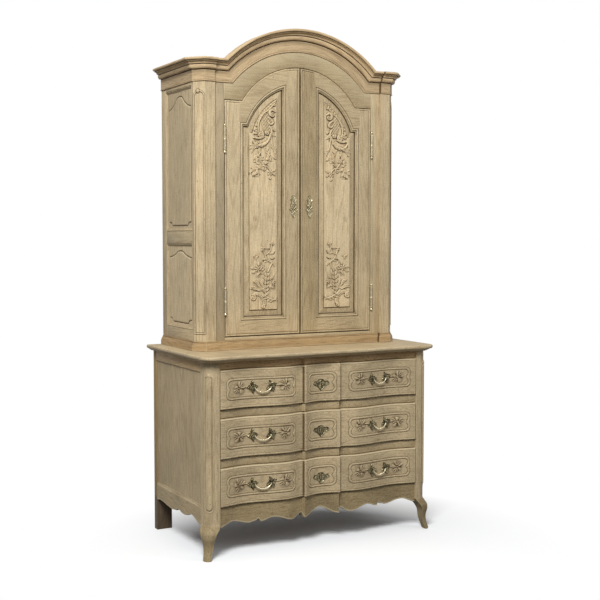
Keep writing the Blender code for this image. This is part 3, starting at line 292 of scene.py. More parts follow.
def brass_finish(name, bright, dull, dark):
    """Cast brass: full metal whose colour goes from rubbed to tarnished with wear and a cloudy noise."""
    material, tree = new_material(name)
    place = add_node(tree, "TexCoord").outputs["Object"]
    marks = add_node(tree, "Attribute", attribute_name="marks").outputs["Vector"]
    wear_and_shading = add_node(tree, "SeparateXYZ", {0: marks}).outputs["Z"]
    cloud = add_node(tree, "TexNoise", {
        "Vector": place, "Scale": 1 / TARNISH_SIZE, "Detail": 4.0, "Roughness": 0.6}).outputs[0]
    rubbed = add_node(tree, "MapRange", {0: cloud, 1: 0.46, 2: 0.74, 3: 0.0, 4: 1.0}).outputs[0]
    tint = add_node(tree, "Mix", {0: rubbed, 6: colour(dull), 7: colour(bright)}, data_type="RGBA")
    tint = tint.outputs[2]
    hollow = add_node(tree, "MapRange", {0: wear_and_shading, 1: 0.02, 2: -0.30, 3: 0.0, 4: 0.95}).outputs[0]
    tint = add_node(tree, "Mix", {0: hollow, 6: tint, 7: colour(dark)}, data_type="RGBA").outputs[2]
    rough = add_node(tree, "MapRange", {0: cloud, 1: 0.3, 2: 0.7, 3: 0.46, 4: 0.26}).outputs[0]
    metal = add_node(tree, "BsdfPrincipled", {"Base Color": tint, "Roughness": rough, "Metallic": 1.0})
    add_node(tree, "OutputMaterial", {"Surface": metal.outputs[0]})
    return material


# Dull cast brass is brown with a few pale rubbed spots.
BRASS = brass_finish("dull_cast_brass", "B4A982", "4A4434", "120F0A")
# Rubbed pale brass shines through thin tarnish.
RUBBED_BRASS = brass_finish("rubbed_pale_brass", "DED3B2", "8F8466", "2E281C")
# Bright worn brass is polished by hands and by turning.
BRIGHT_BRASS = brass_finish("bright_worn_brass", "F0E8CF", "C4B898", "5A5140")
print("brass:", BRASS.name, RUBBED_BRASS.name, BRIGHT_BRASS.name)

# %% [markdown]
# ## Surfaces from arrays
# Every new piece is a grid of points: rows along one parameter, columns along the other. Blender could
# sweep curves instead, but an array formula shows exactly where each point lies and runs without a loop.

# %% Curves and grids
def ease(knots, t):
    """Value at t through (t, value, bend) knots: half a cosine to the next knot, or a line if bend is 0."""
    knots = np.asarray(knots, float)
    spot = np.clip(np.searchsorted(knots[:, 0], t, side="right") - 1, 0, len(knots) - 2)
    share = np.clip((t - knots[spot, 0]) / (knots[spot + 1, 0] - knots[spot, 0]), 0, 1)
    share = np.where(knots[spot, 2] > 0, (1 - np.cos(np.pi * share)) / 2, share)
    return knots[spot, 1] + (knots[spot + 1, 1] - knots[spot, 1]) * share


def smooth_path(points, spacing):
    """Catmull-Rom curve through the points, walked at even steps of the spacing."""
    points = np.asarray(points, float)
    padded = np.vstack([2 * points[0] - points[1], points, 2 * points[-1] - points[-2]])
    t = np.linspace(0, len(points) - 1, 24 * (len(points) - 1) + 1)
    i = np.minimum(t.astype(int), len(points) - 2)
    u = (t - i)[:, None]
    a, b, c, d = padded[i], padded[i + 1], padded[i + 2], padded[i + 3]
    curve = 0.5 * (2 * b + (c - a) * u + (2 * a - 5 * b + 4 * c - d) * u**2 + (3 * b - a - 3 * c + d) * u**3)
    walked = np.concatenate([[0], np.cumsum(np.linalg.norm(np.diff(curve, axis=0), axis=1))])
    even = np.linspace(0, walked[-1], max(3, int(walked[-1] / spacing) + 1))
    return np.stack([np.interp(even, walked, curve[:, k]) for k in range(curve.shape[1])], axis=1)


def along_line(corners, steps, near=0.004):
    """Points of a polyline: even steps on each stretch, and a point close to each of its ends."""
    corners = np.asarray(corners, float)
    parts = []
    for start, end in zip(corners[:-1], corners[1:]):
        close = min(near / np.linalg.norm(end - start), 0.3)
        share = np.concatenate([[0], np.linspace(close, 1 - close, steps + 1)])
        parts.append(start + (end - start) * share[:, None])
    return np.vstack(parts + [corners[-1:]])


def at(x, y, z):
    """Points from three coordinates, each one number or an array, spread over one grid."""
    return np.stack(np.broadcast_arrays(x, y, z), axis=-1)


def grid_faces(index):
    """Quads between neighbours in a grid of point numbers."""
    corners = [index[:-1, :-1], index[:-1, 1:], index[1:, 1:], index[1:, :-1]]
    return np.stack(corners, axis=-1).reshape(-1, 4).tolist()


def capped(rows, columns):
    """Faces of a closed skin: a wrapped grid with its first and last row as end faces."""
    index = np.arange(rows * columns).reshape(rows, columns)
    return grid_faces(np.hstack([index, index[:, :1]])) + [index[0, ::-1].tolist(), index[-1].tolist()]


def ring_faces(rows, columns):
    """Faces of a closed ring: a grid wrapped both ways, the last row and column joined to the first."""
    return grid_faces(np.pad(np.arange(rows * columns).reshape(rows, columns), (0, 1), mode="wrap"))


print("curves and grids ready")

# %% Pieces
CREASE = math.radians(38)
WELD = 1e-6
BOARD_SHIFT = 0.618
PIECES = []


def fetch(mesh, layer, key):
    """One vector for each point, read from a layer of the mesh as an array."""
    values = np.empty(len(mesh.vertices) * 3, np.float32)
    layer.foreach_get(key, values)
    return values.reshape(-1, 3)


def store(mesh, name, values):
    """Keep one vector for each point as an attribute that a material can read."""
    layer = mesh.attributes.get(name) or mesh.attributes.new(name, "FLOAT_VECTOR", "POINT")
    layer.data.foreach_set("vector", np.ascontiguousarray(values, np.float32).ravel())


def measured_wear_and_hollow_shade(mesh):
    """Wear and painted shade of each point: how far its neighbours fall below its tangent plane, so edges +
    and paler, hollows - and painted darker.
    """
    points = fetch(mesh, mesh.vertices, "co")
    normals = fetch(mesh, mesh.vertices, "normal")
    edges = np.empty(len(mesh.edges) * 2, np.int32)
    mesh.edges.foreach_get("vertices", edges)
    here = np.concatenate([edges[0::2], edges[1::2]])
    there = np.concatenate([edges[1::2], edges[0::2]])
    step = points[there] - points[here]
    length = np.maximum(np.linalg.norm(step, axis=1), 1e-7)
    fall = -(step * normals[here]).sum(axis=1) / length
    neighbours = np.maximum(np.bincount(here, minlength=len(points)), 1)
    return np.bincount(here, fall, len(points)) / neighbours


def piece(name, points, body, finish, stands_for=(), tone=0.0, wear_dirt_and_shading=0.0, faces=None,
          measure=True, run=None):
    """Make a mesh object that rides on a body; its points carry board shift, tone, and wear with painted
    shade.

    Tone and the marks of wear, dirt and painted shading are one number or a grid of them; to those marks the
    wear and hollow shade measured on the mesh are added.
    """
    faces = capped(*points.shape[:2]) if faces is None else faces
    mesh = bpy.data.meshes.new(name)
    mesh.from_pydata(points.reshape(-1, 3).tolist(), [], faces)
    store(mesh, "marks", at(BOARD_SHIFT * len(PIECES) + 0 * points[..., 0], tone, wear_dirt_and_shading))
    if run is not None:
        store(mesh, "run", run)
    shell = bmesh.new()
    shell.from_mesh(mesh)
    bmesh.ops.remove_doubles(shell, verts=shell.verts, dist=WELD)
    bmesh.ops.recalc_face_normals(shell, faces=shell.faces)
    shell.to_mesh(mesh)
    shell.free()
    mesh.shade_smooth()
    mesh.set_sharp_from_angle(angle=CREASE)
    if measure:
        marks = fetch(mesh, mesh.attributes["marks"].data, "vector")
        marks[:, 2] += measured_wear_and_hollow_shade(mesh)
        store(mesh, "marks", marks)
    mesh.materials.append(finish)
    thing = bpy.data.objects.new(name, mesh)
    scene.collection.objects.link(thing)
    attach(thing, body)
    if stands_for:
        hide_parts(*stands_for)
    PIECES.append(thing)
    return thing


print("a point closer than", 1000 * WELD, "mm to another is merged with it")

# %% Boards
def board(name, low, high, along, body, finish, stands_for=(), tone=0.0, soft=0.0015, slot="oak"):
    """A plank: a rectangle with rounded corners carried along one axis, its ends eased by the same."""
    low, high = np.minimum(low, high), np.maximum(low, high)
    axis = "XYZ".index(along)
    side = [k for k in range(3) if k != axis]
    turn = np.linspace(0, np.pi / 2, 4)
    corner = np.concatenate([turn, turn + np.pi / 2, turn + np.pi, turn + 1.5 * np.pi])
    sign = np.stack([np.sign(np.cos(corner.reshape(4, 4)[:, 1])).repeat(4),
                     np.sign(np.sin(corner.reshape(4, 4)[:, 1])).repeat(4)], axis=1)
    half = (high - low) / 2
    middle = (high + low) / 2
    place = [0, soft * 0.3, soft, 2 * half[axis] - soft, 2 * half[axis] - soft * 0.3, 2 * half[axis]]
    shrink = [soft, soft * 0.3, 0.0, 0.0, soft * 0.3, soft]
    points = np.empty((len(place), len(corner), 3))
    for row, (far, less) in enumerate(zip(place, shrink)):
        inner = half[side] - soft - less
        points[row, :, axis] = low[axis] + far
        points[row, :, side[0]] = middle[side[0]] + sign[:, 0] * inner[0] + soft * np.cos(corner)
        points[row, :, side[1]] = middle[side[1]] + sign[:, 1] * inner[1] + soft * np.sin(corner)
    return piece(name, points, body, finish, stands_for, tone)


print("boards ready")

# %% [markdown]
# ## The chest's top
# A thick board with a gently waved front, round front corners, and a moulded edge: a nose over a deep
# cove. It could be cut from a slab with a bevel, but stacking the plan at several insets gives the moulding.

# %% Commode top
CLEAR = 0.0003
TOP_HALF = 0.625
TOP_BACK = 0.3525
TOP_UNDER = 0.892
TOP_THICK = 0.028
TOP_ROUND = 0.064
TOP_COVE = 0.022
LOBE_X = 0.190
HOLLOW_X = 0.400
TOP_EDGE = [(1.0, 0.0), (0.92, 0.05), (0.80, 0.12), (0.58, 0.24), (0.42, 0.33), (0.22, 0.41), (0.08, 0.47),
            (0.0, 0.58), (0.0, 0.78), (0.03, 0.88), (0.10, 0.96), (0.22, 1.0)]


def top_plan(inset):
    """Closed plan: waved front from eased knots, quarter-round front corners, straight sides and back."""
    half = TOP_HALF - inset
    front = -TOP_BACK + inset
    wave = [(0.0, 0.009, 1), (LOBE_X, 0.0, 1), (HOLLOW_X, 0.014, 1), (half - TOP_ROUND, 0.0, 1)]
    x = np.linspace(-(half - TOP_ROUND), half - TOP_ROUND, 161)
    edge = np.stack([x, front + ease(wave, np.abs(x))], axis=1)
    turn = np.linspace(0, np.pi / 2, 13)[1:]
    corner = np.stack([half - TOP_ROUND + TOP_ROUND * np.sin(turn),
                       front + TOP_ROUND - TOP_ROUND * np.cos(turn)], axis=1)
    sides = along_line([corner[-1], (half, TOP_BACK), (-half, TOP_BACK), corner[-1] * (-1, 1)], 8)
    return np.vstack([edge, corner, sides[1:-1], corner[::-1] * (-1, 1)])


levels = [(TOP_COVE * 2.2, 0.0)] + [(TOP_COVE * share, rise) for share, rise in TOP_EDGE]
levels += [(TOP_COVE * 0.6, 1.0), (TOP_COVE * 2.5, 1.0)]
points = np.stack([at(*top_plan(inset).T, TOP_UNDER + TOP_THICK * rise) for inset, rise in levels])
piece("chest_top", points, "case", OAK["X"], ["commode_top"], tone=0.10)
print("chest top:", points.shape[0], "levels of", points.shape[1], "points")

# %% [markdown]
# ## The front legs
# Each front leg is one post: a rounded column with a raised reed, which swells to a knee and ends in a
# small outward foot. A subdivided block could be pulled into shape; here a plan is carried down and scaled,
# so the foot keeps the column's round corner.

# %% Steps, lines and rounds
def step_up(distance, width):
    """Smooth step from 0 outside to 1 inside, across a band of the width about the line."""
    share = np.clip(distance / width + 0.5, 0, 1)
    return share * share * (3 - 2 * share)


def bell(distance, width):
    """A bell curve: e to the power of minus the square of distance over width."""
    return np.exp(-(distance / width) ** 2)


def line_cut(distance, height, place, width):
    """A raised or sunk line along an outline: its height times a bell about its place."""
    return height * bell(distance - place, width)


def half_round(share):
    """Height of a half circle: 1 in the middle, falling to 0 where the share reaches 1."""
    return np.sqrt(np.clip(1 - share**2, 0, 1))


def stadium(across, along, half, low, high):
    """Distance inside a bar with round ends: the half width less the distance to the bar's middle line."""
    return half - np.hypot(across, along - np.clip(along, low + half, high - half))


print("steps, lines and rounds ready")

# %% Front legs
HANDS = (("left", -1), ("right", 1))
OPEN_HALF = 0.530
FACE = -0.3075
LEG_WIDTH = 0.064
LEG_DEPTH = 0.075
LEG_ROUND = 0.050
FOOT_HEIGHT = 0.155
REED_LOW = 0.226
REED_HIGH = 0.826
REED_HALF = 0.0135
REED_RISE = 0.004
REED_EDGE = 0.0035
# Lines are height, place and width: a quirk and a bead outside the reed, and the painted shade in the quirk.
REED_QUIRK = (-0.0022, -0.0030, 0.0018)
REED_BEAD = (0.0016, -0.0095, 0.0024)
REED_QUIRK_SHADE = (-0.18, -0.0032, 0.0022)
CURL_LIFT = 0.004
CURL_RISE = 0.0045
CURL_SIZE = 0.012
COLUMN_LOW = FOOT_HEIGHT + 0.004
# The feet are painted darker, as shade that grows towards the floor.
FOOT_TONE = {"left": -0.62, "right": -0.86}
LEG_FLANK = [(LEG_WIDTH, 0.0535), (LEG_WIDTH - 0.002, 0.0548), (LEG_WIDTH - 0.002, 0.0562),
             (LEG_WIDTH, 0.0575), (LEG_WIDTH, LEG_DEPTH - 0.001), (LEG_WIDTH - 0.001, LEG_DEPTH),
             (0.001, LEG_DEPTH), (0.0, LEG_DEPTH - 0.001), (0.0, 0.001), (0.001, 0.0)]
FOOT_SHAPE = [(1.00, 1.00, 0.000), (0.90, 0.985, 0.008), (0.78, 0.88, 0.019), (0.64, 0.72, 0.023),
              (0.53, 0.61, 0.022), (0.40, 0.53, 0.021), (0.25, 0.47, 0.024), (0.10, 0.44, 0.030),
              (0.00, 0.42, 0.033)]


def front_leg(word, side):
    """Column plan of quarter round, square behind, times the foot's scale and kick at each height."""
    foot = smooth_path(FOOT_SHAPE, 0.02)
    ends = np.concatenate([np.arange(0, 0.04, 0.002), np.linspace(0.04, 0.30, 7)])
    shaft = np.unique(np.concatenate([
        TOP_UNDER - CLEAR - np.linspace(0, 0.08, 24), REED_HIGH + 0.01 - ends, REED_LOW - 0.012 + ends,
        np.linspace(COLUMN_LOW, REED_LOW - 0.012, 12)]))[::-1]
    z = np.concatenate([shaft, foot[:, 0] * FOOT_HEIGHT])
    scale = np.concatenate([np.ones(len(shaft)), foot[:, 1]])[:, None]
    kick = np.concatenate([np.zeros(len(shaft)), foot[:, 2]])[:, None]
    turn = np.linspace(0, np.pi / 2, 61)
    bend = LEG_ROUND * (turn - np.pi / 4)[None]
    inside = stadium(bend, z[:, None], REED_HALF, REED_LOW, REED_HIGH)
    rise = REED_RISE * step_up(inside, REED_EDGE) + line_cut(inside, *REED_QUIRK)
    rise = rise + line_cut(inside, *REED_BEAD)
    curl = np.hypot(bend, z[:, None] - REED_HIGH - CURL_LIFT)
    rise = np.maximum(rise, CURL_RISE * half_round(curl / CURL_SIZE))
    column = z[:, None] > COLUMN_LOW
    radius = LEG_ROUND + np.where(column, rise, 0.0)
    u = LEG_WIDTH - LEG_ROUND + radius * np.sin(turn)
    v = LEG_ROUND - radius * np.cos(turn)
    flank = np.array(LEG_FLANK)
    u = np.hstack([u, np.tile(flank[:, 0], (len(z), 1))])
    v = np.hstack([v, np.tile(flank[:, 1], (len(z), 1))])
    u = LEG_WIDTH / 2 + (u - LEG_WIDTH / 2) * scale + kick
    v = LEG_DEPTH / 2 + (v - LEG_DEPTH / 2) * scale - kick
    points = at(side * (OPEN_HALF + u), FACE + v, z[:, None])
    quirk = np.zeros(u.shape)
    quirk[:, :len(turn)] = line_cut(inside, *REED_QUIRK_SHADE) * column
    tone = np.where(z < FOOT_HEIGHT, FOOT_TONE[word], 0.0)[:, None]
    piece(f"chest_front_leg_{word}", points, "case", OAK["Z"], [f"front_leg_{word}"], tone, wear_dirt_and_shading=quirk)


for word, side in HANDS:
    front_leg(word, side)
print("front legs:", len(PIECES[-1].data.polygons), "faces each")

# %% [markdown]
# ## The chest's sides
# A side is a plain rail, a panel of three upright boards, and an apron sawn to a scalloped line. The boards
# could be three meshes; a groove in one sheet shows the joints and keeps the panel one piece, as glued.

# %% Relief boards
def local_mean(field, times):
    """Average of each point with its four neighbours, taken a number of times."""
    for _ in range(times):
        edge = np.pad(field, 1, mode="edge")
        field = (edge[1:-1, 1:-1] + edge[:-2, 1:-1] + edge[2:, 1:-1] + edge[1:-1, :-2] + edge[1:-1, 2:]) / 5
    return field


def relief_panel(name, across, up, out, back, body, finish, stands_for, tone=0.0, facing="front",
                 spread=7, depth=0.0011, wear_dirt_and_shading=0.0):
    """A closed board with a worked face: outer coordinate out(across, up), a flat back, and straight edges.

    Its wear and painted shade is how far the face stands proud of its local mean, over a depth that counts as
    full: proud places paler, hollows darker.
    """
    index = np.arange(across.size).reshape(across.shape)
    rim = np.concatenate([index[0], index[1:, -1], index[-1, -2::-1], index[-2:0:-1, 0]])
    face = at(across, out, up).reshape(-1, 3)
    rear = face[rim] * (1, 0, 1) + (0, back, 0)
    points = np.vstack([face, rear])
    far = len(face) + np.arange(len(rim))
    wall = np.stack([rim, far, np.roll(far, -1), np.roll(rim, -1)], axis=1).tolist()
    if facing == "side":
        points = points[:, [1, 0, 2]]
    proud = (local_mean(out, spread) - out) * np.sign(back - out.mean()) / depth
    wear_and_shading = np.concatenate([(np.clip(0.5 * proud, -0.6, 0.6) + wear_dirt_and_shading).ravel(), np.zeros(len(rim))])
    tones = np.concatenate([np.broadcast_to(tone, out.shape).ravel(), np.zeros(len(rim))])
    return piece(name, points, body, finish, stands_for, tones, wear_and_shading,
                 grid_faces(index) + wall + [far.tolist()], measure=False)


print("relief boards ready")

# %% Finish of the rear legs
LEG_DARK_TO = 0.155
LEG_PALE_FROM = 0.175


def two_tone_leg():
    """The rear leg's finish: dark raw oak below, stripped oak above, mixed by height over 2 cm."""
    leg = DARK_OAK.copy()
    leg.name = "rear_leg_oak_dark_below"
    tree = leg.node_tree
    wood = next(node for node in tree.nodes if node.type == "BSDF_PRINCIPLED")
    dark = wood.inputs["Base Color"].links[0].from_socket
    place = add_node(tree, "TexCoord").outputs["Object"]
    height = add_node(tree, "SeparateXYZ", {0: place}).outputs["Z"]
    upper = add_node(tree, "MapRange", {0: height, 1: LEG_DARK_TO, 2: LEG_PALE_FROM, 3: 0.0, 4: 1.0})
    streak = next(node for node in tree.nodes if node.type == "MAP_RANGE")
    straw = {0: streak.outputs[0], 6: colour("8C7550"), 7: colour("AD946A")}
    straw = add_node(tree, "Mix", straw, data_type="RGBA").outputs[2]
    both = add_node(tree, "Mix", {0: upper.outputs[0], 6: dark, 7: straw}, data_type="RGBA")
    tree.links.new(both.outputs[2], wood.inputs["Base Color"])
    return leg


REAR_LEG = two_tone_leg()
print("rear legs:", REAR_LEG.name)

# %% Rear legs, side rails, panels and aprons
CASE_HALF = 0.594
CASE_BACK = 0.3425
REAR_LEG_WIDTH = 0.078
REAR_LEG_DEPTH = 0.037
SIDE_RAIL = 0.047
SIDE_THICK = 0.024
PANEL_RECESS = 0.005
PANEL_THICK = 0.014
APRON_TOP = 0.240
APRON_BOTTOM = 0.146
APRON_MOULD = 0.010
SIDE_APRON_SOFT = 0.003
SIDE_FRONT_EDGE = FACE + LEG_DEPTH + CLEAR
SIDE_BACK_EDGE = CASE_BACK - REAR_LEG_DEPTH - CLEAR
BOARD_JOINTS = (-0.055, 0.133)
BOARD_GROOVE = 0.0022
BOARD_GROOVE_WIDE = 0.0013
APRON_BEAD = [(0.0, 2.6), (0.0, 1.15), (0.0012, 1.0), (0.0030, 0.75), (0.0036, 0.45), (0.0042, 0.2),
              (PANEL_RECESS, 0.0), (SIDE_THICK, 0.0)]
RUBBED_RIM = [0.3, 0.6, 0.7, 0.7, 0.7, 0.0]
SCALLOP = [(0.00, 0.000, 1), (0.21, 0.026, 1), (0.35, 0.007, 0), (0.40, 0.007, 1), (0.48, 0.015, 0),
           (0.52, 0.016, 0), (0.55, 0.005, 1), (0.64, 0.000, 1), (0.93, 0.012, 1), (1.00, 0.006, 1)]


def chest_side(word, side):
    """Rear leg and rail as planks, and between them a sheet with a groove at each joint of its boards."""
    outer = side * CASE_HALF
    inner = outer - side * SIDE_THICK
    skin = outer - side * PANEL_RECESS
    panel_top = TOP_UNDER - SIDE_RAIL
    board(f"chest_rear_leg_{word}", (outer - side * REAR_LEG_WIDTH, CASE_BACK - REAR_LEG_DEPTH, 0.0),
          (outer, CASE_BACK, TOP_UNDER - CLEAR), "Z", "case", REAR_LEG, [f"rear_leg_{word}"],
          slot="dark_oak")
    # The rail lies in the top's shadow; its tone is raised as painted light.
    board(f"chest_side_rail_{word}", (inner, SIDE_FRONT_EDGE, panel_top),
          (outer, SIDE_BACK_EDGE, TOP_UNDER - CLEAR), "Y", "case", BROWN_OAK["Y"],
          [f"commode_side_rail_{word}"], tone=0.76)
    y = np.unique(np.concatenate([np.linspace(SIDE_FRONT_EDGE, SIDE_BACK_EDGE, 60)]
                                 + [joint + np.linspace(-0.004, 0.004, 9) for joint in BOARD_JOINTS]))
    z = np.linspace(APRON_TOP + CLEAR, panel_top - CLEAR, 40)
    across, up = np.meshgrid(y, z)
    groove = sum(line_cut(across, BOARD_GROOVE, joint, BOARD_GROOVE_WIDE) for joint in BOARD_JOINTS)
    # Planing by hand leaves shallow hollows, less than a millimetre deep.
    hollow = 0.0006 * np.sin(across * 41) + 0.0003 * np.sin(up * 23 + across * 9)
    out = skin - side * (groove + 0.0008 + hollow)
    tone = -0.02 - 0.10 * (across > BOARD_JOINTS[1])
    relief_panel(f"chest_side_panel_{word}", across, up, out, skin - side * PANEL_THICK, "case", OAK["Z"],
                 [f"commode_side_panel_{word}"], tone, "side", wear_dirt_and_shading=-150 * groove)


def side_apron(word, side):
    """A profile of eased lower edge and bead carried along the sawn line, which eased knots give."""
    outer = side * CASE_HALF
    inner = outer - side * SIDE_THICK
    y = np.unique(np.concatenate([np.linspace(0, 1, 150), [k[0] for k in SCALLOP]]))
    low = APRON_BOTTOM + ease(SCALLOP, y)
    y = SIDE_FRONT_EDGE + (SIDE_BACK_EDGE - SIDE_FRONT_EDGE) * y
    soft = SIDE_APRON_SOFT
    profile = [(inner, 0.0), (outer - side * soft, 0.0), (outer - side * soft * 0.3, soft * 0.3),
               (outer, soft), (outer, soft * 1.6), (outer, soft * 2.4)]
    bottom = [at(x, y, low + rise) for x, rise in profile]
    top = [at(outer - side * inset, y, APRON_TOP - APRON_MOULD * drop) for inset, drop in APRON_BEAD]
    points = np.stack(bottom + top, axis=1)
    piece(f"chest_side_apron_{word}", points, "case", OAK["Y"],
          [f"commode_side_apron_{word}"], tone=-0.14, wear_dirt_and_shading=np.array(RUBBED_RIM + [0.0] * len(top)))


for word, side in HANDS:
    chest_side(word, side)
    side_apron(word, side)
print("chest sides done,", len(PIECES), "pieces so far")

# %% [markdown]
# ## Bowed rails and the front apron
# The drawer fronts bow like a crossbow: a hollow block in the middle between two rounded lobes. Straight
# rails could be bent with a modifier, but then every rail would bend a little differently. One formula gives
# the line, and the rails, the apron and later the drawer fronts are all carried along it.

# %% Bowed rails and dividers
BLOCK_HALF = 0.092
BLOCK_HOLLOW = 0.026
BLOCK_OUT = 0.004
BOW = [(BLOCK_HALF, BLOCK_OUT, 0), (0.102, -0.012, 1), (LOBE_X, 0.006, 1), (HOLLOW_X, -0.020, 1),
       (OPEN_HALF, 0.0, 1)]
RAIL_SETBACK = 0.012
RAIL_DEPTH = 0.062
RAIL_HEIGHT = 0.035
BLADE_HEIGHT = 0.037
GUIDE_HEIGHT = 0.022
DECK_HALF = CASE_HALF - PANEL_RECESS - PANEL_THICK - CLEAR
LEVELS = {"top": (0.674, 0.857), "middle": (0.450, 0.637), "bottom": (0.233, 0.413)}


def face_line(x):
    """Depth of the drawer face: a parabola across the hollow block, then eased knots along the lobe."""
    a = np.abs(x)
    block = BLOCK_OUT - BLOCK_HOLLOW * (1 - (a / BLOCK_HALF) ** 2)
    return FACE - np.where(a <= BLOCK_HALF, block, ease(BOW, a))


def bow_stations(spacing):
    """Places along the front, even but with extra ones at the block's sharp corners."""
    x = np.arange(0, OPEN_HALF - CLEAR, spacing)
    sharp = np.array([BLOCK_HALF, BLOCK_HALF + 0.010])
    x = np.concatenate([x, sharp - 0.0012, sharp, sharp + 0.0012, [OPEN_HALF - CLEAR]])
    return np.unique(np.concatenate([-x, x]))


def bowed_rail(name, low, high, back, finish, stands_for, tone, soft=0.002):
    """A rail whose front follows the drawers: a rectangle with eased front corners at each station."""
    x = bow_stations(0.006)
    front = face_line(x) + RAIL_SETBACK
    rows = [(None, low), (soft, low), (soft * 0.3, low + soft * 0.3), (0.0, low + soft),
            (0.0, high - soft), (soft * 0.3, high - soft * 0.3), (soft, high), (None, high)]
    points = np.stack([at(x, back if inset is None else front + inset, z) for inset, z in rows], axis=1)
    return piece(name, points, "case", finish, stands_for, tone)


# The rail lies in the top's shadow; its tone is raised as painted light.
bowed_rail("chest_top_rail", TOP_UNDER - RAIL_HEIGHT, TOP_UNDER - CLEAR, FACE + RAIL_DEPTH,
           BROWN_OAK["X"], ["front_top_rail"], 0.76)
for word, above in (("upper", "top"), ("lower", "middle")):
    high = LEVELS[above][0]
    node = [f"drawer_divider_{word}"]
    bowed_rail(f"divider_blade_{word}", high - BLADE_HEIGHT, high, FACE + LEG_DEPTH, OAK["X"], node, -0.36)
    board(f"dust_board_{word}", (-DECK_HALF, FACE + LEG_DEPTH + CLEAR, high - BLADE_HEIGHT),
          (DECK_HALF, SIDE_BACK_EDGE, high), "X", "case", INNER_OAK["X"], node, slot="inner_oak")
    for hand, side in HANDS:
        board(f"drawer_guide_{word}_{hand}", (side * OPEN_HALF, SIDE_FRONT_EDGE, high + CLEAR),
              (side * DECK_HALF, SIDE_BACK_EDGE, high + GUIDE_HEIGHT), "Y", "case", INNER_OAK["Y"], node,
              slot="inner_oak")

print("bowed rails:", len(bow_stations(0.006)), "stations each")

# %% Front apron
APRON_LINE = 0.136
APRON_BACK = FACE + RAIL_SETBACK + 0.052
APRON_SOFT = 0.003
APRON_EDGE = [(0.0, 0.034, 1), (0.092, 0.0, 0), (0.102, 0.023, 1), (0.155, 0.0, 1), (0.255, 0.023, 1),
              (0.316, 0.007, 0), (0.327, 0.024, 0), (0.338, 0.013, 1), (0.370, 0.006, 1), (0.462, 0.024, 1),
              (OPEN_HALF - CLEAR, 0.004, 1)]

cusps = np.array([k[0] for k in APRON_EDGE[:-1]])
close = np.concatenate([cusps - 0.0015, cusps, cusps + 0.0015])
x = np.unique(np.concatenate([bow_stations(0.003), close, -close]))
front = face_line(x) + RAIL_SETBACK
low = APRON_LINE + ease(APRON_EDGE, np.abs(x))
high = LEVELS["bottom"][0] - CLEAR
soft = APRON_SOFT
rows = [(APRON_BACK - front, low), (soft, low), (soft * 0.3, low + soft * 0.3), (0.0, low + soft),
        (0.0, low + soft * 1.6), (0.0, low + soft * 2.4), (0.0, high - 0.012), (0.0, high - 0.002),
        (0.002, high), (APRON_BACK - front, high)]
points = np.stack([at(x, front + inset, z) for inset, z in rows], axis=1)
# The apron is painted darker, as shade near the floor, and darker still at its top, as shade under the bottom
# drawer; its lower rim is worn pale.
piece("chest_front_apron", points, "case", OAK["X"], ["front_apron"], tone=-0.70,
      wear_dirt_and_shading=np.array(RUBBED_RIM + [0.0, -0.10, -0.25, 0.0]))
print("front apron:", len(x), "stations")

# %% [markdown]
# ## The carver's tools
# The carving is low relief: stems, pointed leaves, blossoms and scrolls cut into the panel's own thickness.
# It could be sculpted by hand, but here each tool raises a height field: the distance to a drawn curve gives
# a rounded ridge, and the highest cut wins, so leaves lie over stems as they do in the wood. A cut is four
# grids: relief, the marks of dirt and painted shade, and the places across and up. Each raised stroke gets a
# painted shadow under its lower side. Strokes are drawn in millimetres.

# %% Ridges and leaves
MM = 0.001
CURVE_STEP = 0.8
BOLD = 1.25
SET_IN = 0.0026
SET_IN_DEPTH = 0.0012
SET_IN_SHADOW = 0.46
LIGHT_FALL = np.array([0.5, 0.87])
LEAF_SWELL = np.array([0.25, 0.8, 1.0, 0.75, 0.12])
LEAF_VEIN = 0.55


def ridge(cut, route, widths, height, vein=0.0):
    """A rounded ridge along a smooth route: height times the half-circle of distance over half width.

    Its lower side is set in with a cut: a bell of the distance from the edge, dark with painted shadow.
    """
    relief, wear_dirt_and_shading, across, up = cut
    curve = MM * smooth_path(route, CURVE_STEP)
    half = BOLD * MM * np.interp(np.linspace(0, 1, len(curve)), np.linspace(0, 1, len(widths)), widths)
    reach = half.max() + 2 * SET_IN
    near = ((across > curve[:, 0].min() - reach) & (across < curve[:, 0].max() + reach)
            & (up > curve[:, 1].min() - reach) & (up < curve[:, 1].max() + reach))
    away = np.stack([across[near], up[near]], axis=1)[:, None] - curve[None]
    shares = np.linalg.norm(away, axis=2) / half[None]
    closest = shares.argmin(axis=1)
    rows = np.arange(len(closest))
    share = shares[rows, closest]
    girth = half[closest]
    # The side away from the light, below the ridge, gets a painted shadow line.
    below = np.clip(0.15 - away[rows, closest] @ LIGHT_FALL / (share * girth + 1e-9), 0, 1)
    middle = bell(share, 0.28)
    body = MM * height * half_round(share) * (1 - vein * middle)
    over = body > relief[near]
    line = below * bell((share - 1) * girth - 0.0006, SET_IN) * (share > 0.9)
    ground = np.maximum(relief[near] - SET_IN_DEPTH * line, -0.001)
    relief[near] = np.where(over, body, ground)
    # The vein is painted darker, as shade in its groove; the set-in line is painted shadow.
    wear_dirt_and_shading[near] = np.where(over, -0.4 * vein * middle, np.minimum(wear_dirt_and_shading[near], -SET_IN_SHADOW * line))


def leaf(cut, x0, z0, x1, z1, width, bend=0.15, height=4.5):
    """A pointed leaf from base to tip: a bent ridge that swells and tapers, with a vein along its middle."""
    base, tip = np.array([(x0, z0), (x1, z1)], float)
    middle = (base + tip) / 2 + bend * np.array([z0 - z1, x1 - x0])
    ridge(cut, [base, middle, tip], LEAF_SWELL * width / 2, height, LEAF_VEIN)


def leaves(cut, *rows):
    """Leaves cut one after the other, each row giving base, tip and width, and maybe bend and height."""
    for row in rows:
        leaf(cut, *row)


print("a leaf swells to", LEAF_SWELL.max(), "of its width")

